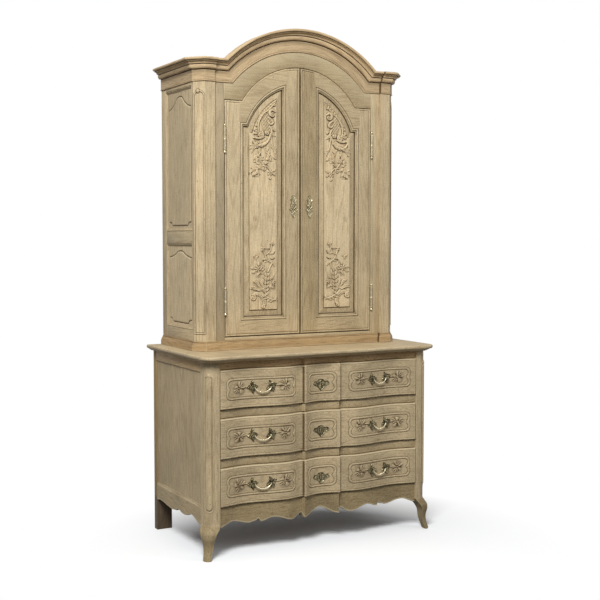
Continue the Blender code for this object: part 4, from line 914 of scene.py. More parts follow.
# %% Blossoms and scrolls
def bloom(cut, x, z, radius, petals, turn, height):
    """A blossom: domed petals from a cosine round the centre, a round eye, painted shade in the creases and
    round the eye, and a painted shadow below.
    """
    relief, wear_dirt_and_shading, across, up = cut
    right = across - MM * x
    rise = up - MM * z
    r = np.hypot(right, rise) / (MM * radius)
    angle = np.arctan2(rise, right) - turn
    edge = 0.76 + 0.24 * np.cos(petals * angle)
    crease = np.abs(np.cos(petals * angle / 2)) ** 0.6
    petal = MM * height * half_round(r / edge) * (0.45 + 0.55 * crease)
    petal *= 1 - 0.5 * np.exp(-(r / 0.34) ** 4)
    eye = MM * height * half_round(r / 0.25)
    shape = np.maximum(petal, eye)
    over = shape > relief
    # Painted shade in the creases between the petals and in a ring round the eye.
    ring = bell(r - 0.30, 0.10)
    wear_dirt_and_shading[over] = -0.34 * np.maximum(1 - crease, ring)[over]
    # Painted shadow under the lower edge, on the side away from the light.
    below = np.clip(0.15 - (right * LIGHT_FALL[0] + rise * LIGHT_FALL[1]) / (r * MM * radius + 1e-9), 0, 1)
    line = below * bell((r - edge) * MM * radius, SET_IN) * ~over
    np.minimum(wear_dirt_and_shading, -SET_IN_SHADOW * line, out=wear_dirt_and_shading)
    np.maximum(relief, shape, out=relief)


def volute(cut, x, z, radius, start, turns, way, width, height):
    """A scroll: a ridge on a spiral whose radius shrinks evenly with the angle, and a round eye."""
    relief, _, across, up = cut
    t = np.linspace(0, 1, 18)
    angle = start + way * math.tau * turns * t
    shrink = radius * (1 - 0.8 * t)
    route = np.stack([x + shrink * np.cos(angle), z + shrink * np.sin(angle)], axis=1)
    ridge(cut, route, [width, width * 0.8, width * 0.6], height)
    eye = np.hypot(across - MM * x, up - MM * z) / (MM * radius * 0.30)
    np.maximum(relief, MM * height * 1.1 * half_round(eye), out=relief)


print("blossoms and scrolls ready")

# %% Leaf rows and trellis
TRELLIS_PIP = 0.55


def leaf_row(cut, route, count, length, width, lean, height):
    """A row of small leaves along a route, each turned by lean from the route's direction."""
    curve = smooth_path(route, CURVE_STEP)
    places = np.linspace(0, len(curve) - 2, count).astype(int)
    ahead = curve[places + 1] - curve[places]
    angle = np.arctan2(ahead[:, 1], ahead[:, 0]) + lean
    tips = curve[places] + length * np.stack([np.cos(angle), np.sin(angle)], axis=1)
    for base, tip in zip(curve[places], tips):
        leaf(cut, *base, *tip, width, height=height)


def lattice(cut, x, z, half_wide, half_high, lean, pitch, height=4.2):
    """A trellis inside a leaning oval: two sets of cosine ribs crossed, with a pip in each diamond; pips are
    painted light as highlights and hollows painted dark as shade.
    """
    relief, wear_dirt_and_shading, across, up = cut
    right = (across - MM * x) / MM
    rise = (up - MM * z) / MM
    along = right * math.cos(lean) + rise * math.sin(lean)
    over = -right * math.sin(lean) + rise * math.cos(lean)
    inside = 1 - (along / half_wide) ** 2 - (over / half_high) ** 2
    u = (right + rise * 0.8) / pitch
    v = (right - rise * 0.8) / pitch
    ribs = np.maximum(np.abs(np.cos(np.pi * u)), np.abs(np.cos(np.pi * v))) ** 7
    pips = TRELLIS_PIP * np.clip(np.sin(np.pi * u) * np.sin(np.pi * v), -1, 1) ** 6
    mesh = MM * height * (0.25 + 0.75 * np.maximum(ribs, pips))
    relief[inside > 0] = np.maximum(relief[inside > 0], mesh[inside > 0])
    # Painted light: pips lighter as highlights, hollows between the ribs darker as shade.
    wear_dirt_and_shading[inside > 0] += (0.34 * pips / TRELLIS_PIP - 0.26 * (1 - np.maximum(ribs, pips)))[inside > 0]


print("trellis pips stand", TRELLIS_PIP, "of the ribs")

# %% [markdown]
# ## The drawer fronts
# Each front is one thick board, bowed and carved with three framed fields. The fields are beads that follow
# a rounded outline with a notch at each end; leaf sprays fan out beside the handles. A bump map could fake
# them, but it would look flat from the side, so the relief is real mesh on the bowed face.

# %% Framed fields
DRAWER_HALF = OPEN_HALF - 0.0025
DRAWER_GAP = 0.0025
FRONT_BACK = FACE + 0.048
PULL_X = 0.3155
PULL_DROP = 0.088
FIELD_X = 0.3195
FIELD_HALF = (0.1765, 0.0490)
BLOCK_FIELD_HALF = (0.0775, 0.0500)
BAND = 0.0105
FIELD_NOTCH = 0.011
BAND_RISE = 0.0020
BAND_GROOVE = 0.0016
BAND_LINE = 0.0018


def field_distance(across, up, half_wide, half_high, radius, notch):
    """Distance inside a rounded rectangle whose short ends are notched inwards at half height."""
    wide = half_wide - notch * np.exp(-(np.abs(up) / FIELD_NOTCH) ** 1.5)
    right = np.abs(across) - (wide - radius)
    high = np.abs(up) - (half_high - radius)
    beyond = np.hypot(np.maximum(right, 0), np.maximum(high, 0))
    return radius - beyond - np.minimum(np.maximum(right, high), 0)


def framing(across, up, half, radius, notch):
    """A rounded band between two fine grooves: the outer line is plain, the inner one notched at its ends; the
    grooves get painted shade.
    """
    outer = field_distance(across, up, *half, radius, notch * 0.25)
    inner = field_distance(across, up, half[0] - BAND, half[1] - BAND, radius * 0.75, notch)
    band = np.clip(np.minimum(outer, -inner) / (BAND / 2), 0, 1)
    groove = bell(outer, BAND_LINE) + bell(inner, BAND_LINE)
    return BAND_RISE * half_round(1 - band) - BAND_GROOVE * groove, -0.12 * np.clip(groove, 0, 1)


print("fields:", FIELD_HALF, BLOCK_FIELD_HALF)

# %% Leaf sprays
SPRAY_REACH = 0.112
SPRAY_SIZE = 0.036


def flower(cut, heart, size, petals, turn, height=0.0050):
    """Long leaves round a heart: a dome whose reach and height wave with the angle, with painted shade in its
    creases.
    """
    relief, wear_dirt_and_shading, across, up = cut
    right = (across - heart[0]) / size
    rise = (up - heart[1]) / (0.92 * size)
    r = np.hypot(right, rise)
    angle = np.arctan2(rise, right) - turn
    angle += 0.35 * np.sin(2 * angle + turn)
    wave = np.abs(np.sin(petals * angle / 2))
    reach = (0.70 + 0.30 * wave) * (0.84 + 0.16 * np.sin(3 * angle + turn))
    within = r < reach
    rounded = height * half_round(r / reach) * (0.10 + 0.90 * wave)
    relief[within] = np.maximum(relief, rounded * np.clip(r / 0.35, 0.4, 1))[within]
    wear_dirt_and_shading[within] -= 0.36 * np.clip(1 - wave / 0.70, 0, 1)[within] * np.clip(r / 0.2, 0, 1)[within]


def leaf_spray(cut, heart, way, size, turn):
    """A stem from the handle to a ring of leaves with a smaller ring on top, in a patch of old dirt."""
    _, wear_dirt_and_shading, across, up = cut
    r = np.hypot(across - heart[0], up - heart[1]) / size
    wear_dirt_and_shading -= 0.15 * np.exp(-r**6)
    stem = heart - (way * 1.3 * size, -0.002)
    ridge(cut, np.array([stem, (stem + heart) / 2 + (0, 0.003), heart]) / MM, [1.2, 2.6], 3.4)
    flower(cut, heart, size, 9, turn)
    flower(cut, heart + (way * 0.14 * size, 0.12 * size), 0.46 * size, 5, turn + 0.6, 0.0064)


print("a spray is", round(2000 * SPRAY_SIZE), "mm across")

# %% Drawer fronts
RIM_ROUND = 0.005
RIM_GROOVE = (-0.0014, 0.0095, 0.0012)
# A painted highlight along the top edge, where light falls on its round, and painted shade beside the edges of
# the hollow block.
TOP_EDGE_HIGHLIGHT = (0.50, 0.003, 0.0035)
BLOCK_EDGE = 0.010
BLOCK_EDGE_SHADE = (-0.25, 0.005, 0.007)


def drawer_front(word, low, high, turn):
    """Bowed face less a rounded rim, plus three framed fields and four leaf sprays."""
    x = np.unique(np.concatenate([
        np.linspace(-DRAWER_HALF, DRAWER_HALF, 590),
        [side * (BLOCK_HALF + edge + step) for side in (-1, 1) for edge in (0.0, BLOCK_EDGE)
         for step in (-0.0008, 0.0, 0.0008)]]))
    z = np.linspace(low + DRAWER_GAP, high - DRAWER_GAP, 112)
    across, up = np.meshgrid(x, z)
    middle = (low + high) / 2 - 0.0015
    relief = np.zeros_like(across)
    wear_dirt_and_shading = np.zeros_like(across)
    heart = high - PULL_DROP
    for side in (-1, 1):
        for way in (-1, 1):
            spot = np.array([side * PULL_X + way * SPRAY_REACH, heart - 0.002 * way * side])
            leaf_spray((relief, wear_dirt_and_shading, across, up), spot, way, SPRAY_SIZE, turn * (1 + 0.3 * way * side))
    for centre, half, radius in ((-FIELD_X, FIELD_HALF, 0.024), (FIELD_X, FIELD_HALF, 0.024),
                                 (0.0, BLOCK_FIELD_HALF, 0.026)):
        band, dirt_and_shade = framing(across - centre, up - middle, half, radius, FIELD_NOTCH)
        relief += band
        wear_dirt_and_shading += dirt_and_shade
    rim = np.minimum(DRAWER_HALF - np.abs(across), np.minimum(up - z[0], z[-1] - up))
    fall = np.clip(RIM_ROUND - rim, 0, RIM_ROUND)
    relief += line_cut(rim, *RIM_GROOVE) - (RIM_ROUND - np.sqrt(RIM_ROUND**2 - fall**2))
    # Painted highlight on the top edge and painted shade beside the block.
    wear_dirt_and_shading += line_cut(z[-1] - up, *TOP_EDGE_HIGHLIGHT)
    wear_dirt_and_shading += line_cut(np.abs(across) - BLOCK_HALF, *BLOCK_EDGE_SHADE)
    # The ground keeps the hollows of the plane, a third of a millimetre deep.
    ground = 0.0003 * np.sin(across * 61 + 3 * turn) + 0.0002 * np.sin(up * 87)
    relief_panel(f"carved_drawer_front_{word}", across, up, face_line(across) - relief - ground, FRONT_BACK,
                 f"drawer_{word}", OAK["X"], [f"drawer_front_{word}"], -0.01, spread=16, depth=0.0034,
                 wear_dirt_and_shading=wear_dirt_and_shading)


for word, turn in (("top", 6), ("middle", -5), ("bottom", 2)):
    drawer_front(word, *LEVELS[word], turn)
print("drawer fronts:", len(PIECES[-1].data.polygons), "faces each")

# %% [markdown]
# ## Drawer brass
# Each handle has two cast leaf rosettes, a post through each, and a swan-neck bail that swings between
# them. A curve with a round bevel could make the bail, but its swells and rings need a radius of their own at
# each step. The rosette is a disc whose rim waves like leaves, which a few cosines give.

# %% Rosettes
POST_RADIUS = 0.0055
ROSETTE_RADIUS = 0.0205
ROSETTE = [(0.24, 0.0076), (0.30, 0.0070), (0.42, 0.0058), (0.55, 0.0066), (0.68, 0.0068), (0.80, 0.0060),
           (0.90, 0.0048), (0.97, 0.0034), (1.0, 0.0016), (0.99, -0.002)]
KNOB = [(0.45, 0.0190), (0.9, 0.0180), (1.05, 0.0160), (1.0, 0.0140), (0.92, 0.0120), (1.0, 0.0100),
        (0.95, 0.0080)]


def rosette(name, x, z, body, turn):
    """A cast leaf cluster: rim radius waves with the angle, its height falls to the rim with leaf veins."""
    y = float(face_line(np.array(x)))
    angle = np.linspace(0, math.tau, 97)[:-1]
    lobe = 1 + 0.30 * np.cos(4 * (angle - turn)) + 0.10 * np.cos(12 * (angle - turn))
    rim = ROSETTE_RADIUS * lobe
    share, height = np.array(ROSETTE).T[..., None]
    vein = 1 + 0.26 * np.cos(12 * (angle - turn)) * np.clip((share - 0.3) * 2, 0, 1)
    out = np.where(height > 0, height * vein, height)
    girth, reach = np.array(KNOB).T[..., None]
    post = at(POST_RADIUS * girth * np.cos(angle), reach, POST_RADIUS * girth * np.sin(angle))
    leafage = at(share * rim * np.cos(angle), out, 1.08 * share * rim * np.sin(angle))
    points = (x, y, z) + np.concatenate([post, leafage]) * (1, -1, 1)
    piece(name, points, body, BRASS)


print("a rosette is", round(2000 * ROSETTE_RADIUS), "mm across")

# %% Bails
PULL_SPAN = 0.090
PIVOT_OUT = 0.0135
BAIL_RADIUS = 0.0028
BAIL_DROP = 0.024
BAIL_RINGS = (0.36, 0.5, 0.64)


def tube(route, radius, sides=14):
    """A round bar along a route in space: circles across the route's direction, upright by one side."""
    ahead = np.gradient(route, axis=0)
    ahead /= np.linalg.norm(ahead, axis=1)[:, None]
    side = np.cross(ahead, np.broadcast_to(np.cross(ahead.mean(axis=0), (0, 0, 1.0)), ahead.shape))
    side /= np.linalg.norm(side, axis=1)[:, None]
    other = np.cross(ahead, side)
    turn = np.linspace(0, math.tau, sides + 1)[:-1]
    ring = np.cos(turn)[None, :, None] * side[:, None] + np.sin(turn)[None, :, None] * other[:, None]
    return route[:, None] + radius[:, None, None] * ring


def bail(word, hand, side, z):
    """A swan-neck bail between the posts: it drops in a squared bow that swells and bears three rings."""
    ends = np.array([side * PULL_X - PULL_SPAN / 2, side * PULL_X + PULL_SPAN / 2])
    depth = face_line(ends) - PIVOT_OUT
    start = np.array([ends[0], depth[0], z])
    span = np.array([ends[1] - ends[0], depth[1] - depth[0], 0.0])
    length = np.linalg.norm(span)
    t = np.linspace(0, 1, 65)
    first = (POST_RADIUS + 0.0012) / length
    along = first + (1 - 2 * first) * t
    along = np.concatenate([[0.55 * first, first], along, [1 - first, 1 - 0.55 * first]])
    rise = np.concatenate([[0, 0], np.sin(np.pi * t) ** 0.55, [0, 0]])
    swell = np.concatenate([[0.55, 0.6], 0.85 + 0.35 * np.sin(np.pi * t) ** 2, [0.6, 0.55]])
    rings = sum(0.55 * bell(along - spot, 0.012) for spot in BAIL_RINGS)
    route = start + along[:, None] * span - rise[:, None] * np.array([0, 0, BAIL_DROP])
    keep = np.concatenate([[True], np.linalg.norm(np.diff(route, axis=0), axis=1) > 1e-5])
    points = tube(route[keep], BAIL_RADIUS * (swell + rings)[keep])
    piece(f"swan_bail_{word}_{hand}", points, f"pull_{word}_{hand}", BRIGHT_BRASS,
          [f"bail_{word}_{hand}"])


print("bails hang", round(1000 * BAIL_DROP), "mm")

# %% Key plates and all the drawer brass
KEY_PLATE = (0.088, 0.056, 0.0026)
KEY_PLATE_DROP = 0.101
PLATE_ABOVE = [(0.0, 0.48, 1), (0.26, 0.46, 1), (0.46, 0.31, 1), (0.62, 0.30, 1), (0.80, 0.33, 1),
               (1.0, 0.14, 1)]
PLATE_BELOW = [(0.0, 0.50, 1), (0.12, 0.44, 0), (0.30, 0.28, 0), (0.52, 0.10, 1), (0.90, 0.00, 1),
               (1.0, -0.06, 1)]
KEYHOLE_RISE = 0.006
KEY_RIM = (0.0014, 0.0022, 0.0012)
KEY_RING = (0.0020, 0.0125, 0.0022)


def keyhole_depth(across, up):
    """How deep the keyhole is cut: a round eye over a slot, with a soft lip."""
    eye = 0.0042 - np.hypot(across, up - 0.004)
    slot = np.minimum(0.0022 - np.abs(across), np.minimum(up + 0.012, 0.004 - up))
    return step_up(np.maximum(eye, slot), 0.0016)


def key_plate(word, z):
    """A winged plate on the hollow block: edges from eased knots, a raised rim, veins and the keyhole."""
    wide, high, thick = KEY_PLATE
    t = np.linspace(-1, 1, 81)
    s = np.concatenate([[0, 0.02], np.linspace(0.05, 0.95, 41), [0.98, 1]])[:, None]
    top = high * ease(PLATE_ABOVE, np.abs(t))
    bottom = -high * ease(PLATE_BELOW, np.abs(t))
    across = np.broadcast_to(t * wide / 2, (len(s), len(t)))
    up = bottom + (top - bottom) * s
    rim = np.minimum(np.minimum(s, 1 - s) * (top - bottom), (1 - np.abs(t)) * wide / 2)
    raised = thick * np.clip(rim / 0.0016, 0, 1) + line_cut(rim, *KEY_RIM)
    raised += 0.0009 * np.cos(across * 400) * np.cos(up * 330) * np.clip(rim / 0.006, 0, 1)
    hole = keyhole_depth(across, up - KEYHOLE_RISE)
    raised += line_cut(np.hypot(across, up - KEYHOLE_RISE), *KEY_RING)
    raised -= 0.0040 * hole
    out = face_line(across) - CLEAR - raised
    back = float(face_line(np.array(0.0))) + 0.004
    # The keyhole is painted dark, as the shade inside it; the rest of the plate is kept clear of the dark
    # colour.
    relief_panel(f"winged_key_plate_{word}", across, up + z, out, back, f"drawer_{word}", BRASS,
                 [f"drawer_escutcheon_{word}"], wear_dirt_and_shading=0.12 - 0.5 * hole)


for word, (low, high) in LEVELS.items():
    pull_z = high - PULL_DROP
    for hand, side in HANDS:
        bail(word, hand, side, pull_z)
        for end, reach, turn in (("a", -PULL_SPAN / 2, 1.65), ("b", PULL_SPAN / 2, 1.95)):
            rosette(f"leaf_rosette_{word}_{hand}_{end}", side * PULL_X + reach, pull_z, f"drawer_{word}",
                    turn)
    key_plate(word, high - KEY_PLATE_DROP)
print("drawer brass done,", len(PIECES), "pieces so far")

# %% [markdown]
# ## The cupboard's base and corner posts
# The cupboard stands on a moulded slab. Its front corners are cut off at an angle, and each canted face
# bears a bead round a sunk field. Bevelled boxes could give the corners, but one plan line, moved outwards by
# its mitres, serves the base, the posts and the cornice alike.

# %% Plan line and base slab
UPPER_HALF = 0.543
UPPER_BACK = 0.3395
POST_FRONT = -0.0955
DOOR_FRONT = -0.0835
POST_INNER = 0.452
CANT_FRONT = 0.502
CANT_Y = 0.046
CANT_X = UPPER_HALF - CANT_FRONT
CANT_WIDE = math.hypot(CANT_X, CANT_Y)
SIDE_FRONT = -0.0335
SIDE_FRAME_THICK = 0.025
POST_THICK = 0.037
BASE_LOW = 0.920 + CLEAR
BASE_TOP = 0.966
CORNICE_BOTTOM = 2.162
AHEAD = np.array([0.0, -1.0])
ASIDE = np.array([1.0, 0.0])
CANTED = np.array([CANT_Y, -CANT_X]) / CANT_WIDE
CASE_LINE = np.array([(POST_INNER, DOOR_FRONT), (POST_INNER, POST_FRONT), (CANT_FRONT, POST_FRONT),
                      (UPPER_HALF, POST_FRONT + CANT_Y), (UPPER_HALF, UPPER_BACK)])


def mitre(before, after):
    """Offset direction at a corner: the sum of the two normals over one plus their product."""
    return (before + after) / (1 + before @ after)


CASE_OUT = np.array([mitre(AHEAD, -ASIDE), mitre(AHEAD, -ASIDE), mitre(AHEAD, CANTED), mitre(CANTED, ASIDE),
                     ASIDE])


def case_plan(out):
    """Closed plan of the cupboard moved outwards by out, with points close to every corner."""
    right = CASE_LINE + out * CASE_OUT
    loop = np.vstack([right[::-1] * (-1, 1), right, right[-1:] * (-1, 1)])
    return along_line(loop, 10)[:-1]


def run_grain(points, along):
    """Grain coordinates of a swept piece: distance walked along the run, then across its profile."""
    walked = [np.linalg.norm(np.diff(points, axis=k), axis=2) for k in (0, 1)]
    down = np.vstack([np.zeros((1, points.shape[1])), np.cumsum(walked[0], axis=0)])
    over = np.hstack([np.zeros((points.shape[0], 1)), np.cumsum(walked[1], axis=1)])
    return at(over, down, 0.0) if along == 1 else at(down, over, 0.0)


BASE_EDGE = [(0.010, 0.0), (0.012, 0.03), (0.012, 0.36), (0.0114, 0.46), (0.0098, 0.58), (0.0072, 0.70),
             (0.0048, 0.78), (0.0040, 0.83), (0.0022, 0.84), (0.0020, 0.98), (0.0010, 1.0), (-0.012, 1.0)]
points = np.stack([at(*case_plan(out).T, BASE_LOW + (BASE_TOP - BASE_LOW) * rise)
                   for out, rise in BASE_EDGE])
# A painted shadow line where the base steps back beside each post.
step = np.abs(points[..., 0]) - (POST_INNER - np.array([out for out, _ in BASE_EDGE])[:, None])
piece("cupboard_base", points, "case", BROWN_OAK["run"], ["upper_base"], tone=-0.14,
      wear_dirt_and_shading=-0.4 * (np.abs(step) < 0.003), run=run_grain(points, 1))
print("base slab:", points.shape[1], "points round its plan")

# %% Corner posts
POST_FIELD_HALF = 0.0215
POST_BEAD_PLACE = 0.0042
POST_BEAD_HALF = 0.0040
POST_BEAD_RISE = 0.0036
POST_QUIRK = 0.0018
# The curl and the drop are placed across the canted face and down from its head.
KNOB_PLACE = (0.006, 0.044)
KNOB_RADIUS = 0.0095
KNOB_RISE = 0.0055
KNOB_SHADE = (-0.35, 0.0105, 0.0016)
DROP_PLACE = (0.0255, 0.105)
DROP_HALF = (0.0050, 0.016)
DROP_RISE = 0.0050


def corner_post(word, side):
    """Post plan with a canted face: a bead runs up both edges and over the head, with a curl and a drop."""
    low, high = BASE_TOP + CLEAR, CORNICE_BOTTOM - CLEAR
    end = np.concatenate([np.arange(0, 0.075, 0.0025), np.linspace(0.08, 0.30, 4)])
    z = np.unique(np.concatenate([low + end, high - end, np.linspace(low + 0.3, high - 0.3, 8)]))[:, None]
    t = np.linspace(0.02, 0.98, 55)[None]
    across = (t - 0.5) * CANT_WIDE
    inside = stadium(across, z, POST_FIELD_HALF, low - 0.100, high - 0.048)
    inside = np.minimum(inside, z - low - 0.040)
    bead = POST_BEAD_RISE * half_round((inside + POST_BEAD_PLACE) / POST_BEAD_HALF)
    quirk = bell(inside, 0.0016) + bell(inside + 0.0084, 0.0014)
    curl = np.hypot(across - KNOB_PLACE[0], z - high + KNOB_PLACE[1])
    knob = KNOB_RISE * half_round(curl / KNOB_RADIUS)
    drop = np.hypot((across - DROP_PLACE[0]) / DROP_HALF[0], (z - high + DROP_PLACE[1]) / DROP_HALF[1])
    drop = DROP_RISE * half_round(drop)
    rise = np.maximum(np.maximum(bead - POST_QUIRK * quirk, knob), drop)
    # Painted shade in the quirks beside the bead and in a ring round the curl.
    wear_dirt_and_shading = -0.30 * np.clip(quirk, 0, 1) + line_cut(curl, *KNOB_SHADE)
    x = CANT_FRONT + CANT_X * t + CANTED[0] * rise
    y = POST_FRONT + CANT_Y * t + CANTED[1] * rise
    inner = UPPER_HALF - SIDE_FRAME_THICK
    back = POST_FRONT + POST_THICK
    rest = [(UPPER_HALF, POST_FRONT + CANT_Y), (UPPER_HALF, SIDE_FRONT), (inner, SIDE_FRONT), (inner, back),
            (POST_INNER, back), (POST_INNER, POST_FRONT), (CANT_FRONT, POST_FRONT)]
    rest = along_line(rest, 2, 0.0015)
    x = np.hstack([x, np.tile(rest[:, 0], (len(z), 1))])
    y = np.hstack([y, np.tile(rest[:, 1], (len(z), 1))])
    points = at(side * x, y, z)
    wear_dirt_and_shading = np.hstack([wear_dirt_and_shading, np.zeros((len(z), len(rest)))])
    tone = np.concatenate([np.full(t.shape[1], 0.26), np.full(len(rest), 0.12 + 0.09 * side)])
    piece(f"canted_post_{word}", points, "case", OAK["Z"], [f"corner_post_{word}"],
          tone=tone, wear_dirt_and_shading=wear_dirt_and_shading)


for word, side in HANDS:
    corner_post(word, side)
print("corner posts:", len(PIECES[-1].data.polygons), "faces each")

# %% [markdown]
# ## The cupboard's sides
# A side is framed: a rear stile, three rails, a moulding round each opening, and two fielded panels. A
# boolean could cut the wavy field; the distance to its outline gives the same groove in one sheet. Each
# member is its own plank, so the grain turns at the joints as in real work.

# %% Mouldings and fielded panels
REAR_STILE = 0.056
SIDE_LEVELS = {"lower": (BASE_TOP + 0.050, BASE_TOP + 0.453),
               "upper": (BASE_TOP + 0.511, CORNICE_BOTTOM - 0.014)}
# The side panels are painted lighter, as more light from the left than the lamps give, the lower panel most.
SIDE_TONES = {"lower": 0.60, "upper": 0.20}
CROWN_HIGH = {"lower": 0.030, "upper": 0.055}
PANEL_ROWS = {"lower": 130, "upper": 180}
MOULD = 0.012
PANEL_SKIN = 0.007
PANEL_BODY = 0.012
FIELD_INSET = 0.026
CROWN = ((0.0, 0.10, 0.20, 0.30, 0.43, 0.56, 0.73, 0.94, 1.0),
         (0.0, 0.01, 0.05, 0.20, 0.48, 0.66, 0.86, 1.0, 1.0))
EARS = [(0.0, 0.0, 0), (0.66, 0.0, 1), (0.80, 0.014, 1), (1.0, 0.018, 0)]
CROWN_DROP = 0.010
SIDE_FIELD_RISE = 0.0022
MOULD_PROFILE = [(0.0, 0.0), (0.02, 0.26), (0.08, 0.34), (0.13, 0.20), (0.20, 0.04), (0.30, 0.0),
                 (0.40, 0.08), (0.48, 0.30), (0.54, 0.48), (0.62, 0.54), (0.72, 0.56), (0.84, 0.66),
                 (0.94, 0.84), (1.0, 1.0), (1.0, 1.6), (0.0, 1.6)]


def picture_moulding(name, side, ys, zs):
    """A mitred frame: a profile of inset and depth carried round a rectangle on the cupboard's side."""
    loops = []
    for inset, sink in MOULD_PROFILE:
        y0, y1 = ys[0] + MOULD * inset, ys[1] - MOULD * inset
        z0, z1 = zs[0] + MOULD * inset, zs[1] - MOULD * inset
        loop = along_line([(y0, z0), (y1, z0), (y1, z1), (y0, z1), (y0, z0)], 6)[:-1]
        loops.append(at(side * (UPPER_HALF - PANEL_SKIN * sink), *loop.T))
    points = np.stack(loops)
    # All of the moulding below its face is painted darker, as shade in its hollows.
    wear_dirt_and_shading = np.where(points[..., 0] * side > UPPER_HALF - PANEL_SKIN * 0.97, 0.0, -0.35)
    piece(name, points, "case", OAK["Z"], tone=0.02, wear_dirt_and_shading=wear_dirt_and_shading, faces=ring_faces(*points.shape[:2]))


def side_panel(word, level, side, ys, zs):
    """A board with a low field inside a cut line: crowned head and eared foot from eased knots."""
    across, up = np.meshgrid(np.linspace(*ys, 130), np.linspace(*zs, PANEL_ROWS[level]))
    y0, y1 = ys[0] + FIELD_INSET, ys[1] - FIELD_INSET
    z0, z1 = zs[0] + FIELD_INSET, zs[1] - FIELD_INSET
    share = np.abs(2 * (across - y0) / (y1 - y0) - 1)
    head = z1 - CROWN_DROP - CROWN_HIGH[level] * np.interp(share, *CROWN)
    foot = z0 + ease(EARS, share)
    right = np.abs(across - (y0 + y1) / 2) - (y1 - y0) / 2
    inside = np.minimum(-right, np.minimum(up - foot, head - up))
    # The cut line round the field is sunk and painted darker, as shade in it.
    line = bell(inside + 0.0008, 0.0016)
    rise = SIDE_FIELD_RISE * step_up(inside - 0.003, 0.006) - SIDE_FIELD_RISE * line
    rise += 0.0004 * np.sin(across * 37 + side)
    skin = side * (UPPER_HALF - PANEL_SKIN)
    relief_panel(f"fielded_side_panel_{level}_{word}", across, up, skin + side * rise,
                 skin - side * PANEL_BODY, "case", OAK["Z"], [f"upper_side_panel_{level}_{word}"],
                 SIDE_TONES[level], "side", wear_dirt_and_shading=-0.30 * line)


print("side moulding:", len(MOULD_PROFILE), "profile points")

# %% Cupboard sides
BEARER = (0.022, 0.030)
SHELF_Z = 1.477


def cupboard_side(word, side):
    """Rear stile, three rails, bearer, mouldings and panels of one side."""
    outer = side * UPPER_HALF
    inner = outer - side * SIDE_FRAME_THICK
    front = SIDE_FRONT + CLEAR
    stile = UPPER_BACK - REAR_STILE
    node = [f"upper_side_frame_{word}"]
    low, high = BASE_TOP + CLEAR, CORNICE_BOTTOM - CLEAR
    board(f"side_stile_{word}", (inner, stile, low), (outer, UPPER_BACK, high), "Z", "case", OAK["Z"], node,
          -0.04)
    (sill, belt), (rail, head) = SIDE_LEVELS["lower"], SIDE_LEVELS["upper"]
    for name, bottom, top in (("bottom", low, sill), ("middle", belt, rail), ("top", head, high)):
        board(f"side_rail_{name}_{word}", (inner, front, bottom), (outer, stile - CLEAR, top), "Y", "case",
              OAK["Y"], node, -0.06)
    board(f"shelf_bearer_{word}", (inner - side * BEARER[0], front, SHELF_Z - BEARER[1] - CLEAR),
          (inner, stile, SHELF_Z - CLEAR), "Y", "case", INNER_OAK["Y"], node, slot="inner_oak")
    for level, zs in SIDE_LEVELS.items():
        ys = (front, stile - CLEAR)
        zs = (zs[0] + CLEAR, zs[1] - CLEAR)
        side_panel(word, level, side, ys, zs)
        picture_moulding(f"side_moulding_{level}_{word}", side, ys, zs)


for word, side in HANDS:
    cupboard_side(word, side)
print("cupboard sides done,", len(PIECES), "pieces so far")

# %% [markdown]
# ## Face frame and arched cornice
# A flat frame holds the doors. Above it the crown moulding runs up the sides, round the cut corners and
# over the arch. A curve with a bevel profile could sweep it, but its corners must be mitred: each station
# carries the profile along its own outward and upward directions, and the stretches between are straight.

# %% Face frame
ARCH_Z = 1.864
ARCH_RADIUS = 0.466
DOOR_HALF = 0.400
DOOR_GAP = 0.003
DOOR_BOTTOM = 0.982
DOOR_SHOULDER = CORNICE_BOTTOM - 0.077
DOOR_ARCH = 0.362
DOOR_ARCH_Z = 1.895
FRAME_THICK = 0.025
FRAME_EASE = 0.001
ARCH_GAP = 0.0010

opening = DOOR_HALF + 0.6 * DOOR_GAP
frame_back = DOOR_FRONT + FRAME_THICK
for word, side in HANDS:
    board(f"face_stile_{word}", (side * opening, DOOR_FRONT, BASE_TOP + CLEAR),
          (side * (POST_INNER - CLEAR), frame_back, CORNICE_BOTTOM - CLEAR), "Z", "case",
          GREY_OAK if side < 0 else OAK["Z"], ["face_frame"], -0.08, FRAME_EASE)
board("face_sill", (-opening + CLEAR, DOOR_FRONT, BASE_TOP + CLEAR),
      (opening - CLEAR, frame_back, DOOR_BOTTOM - DOOR_GAP), "X", "case", OAK["X"], ["face_frame"], -0.10,
      FRAME_EASE)

kink = math.sqrt(ARCH_RADIUS**2 - (CORNICE_BOTTOM - ARCH_Z) ** 2)
bow = DOOR_ARCH + ARCH_GAP
spring = math.sqrt(bow**2 - (DOOR_SHOULDER + ARCH_GAP - DOOR_ARCH_Z) ** 2)
x = np.linspace(-opening + CLEAR, opening - CLEAR, 141)
x = np.unique(np.concatenate([x, [-kink, kink, -spring, spring]]))
high = ARCH_Z + np.sqrt(np.clip((ARCH_RADIUS - CLEAR) ** 2 - x**2, 0, None))
high = np.where(np.abs(x) < kink, high, CORNICE_BOTTOM - CLEAR)
low = DOOR_ARCH_Z + np.sqrt(np.clip(bow**2 - x**2, 0, None))
low = np.where(np.abs(x) < spring, low, DOOR_SHOULDER + ARCH_GAP)
ring = [(low, FRAME_THICK), (low, 0.0016), (low + 0.0010, 0.0004), (low + 0.0026, 0.0), (high, 0.0),
        (high, FRAME_THICK)]
points = np.stack([at(x, DOOR_FRONT + depth, z) for z, depth in ring], axis=1)
piece("arched_tympanum", points, "case", OAK["X"], ["face_frame"], -0.42)
print("face frame: opening", round(2000 * opening), "mm wide")

# %% Cornice
CORNICE_HEIGHT = 0.105
CORNICE_OUT = 0.045
CORNICE_SEAT = 0.018
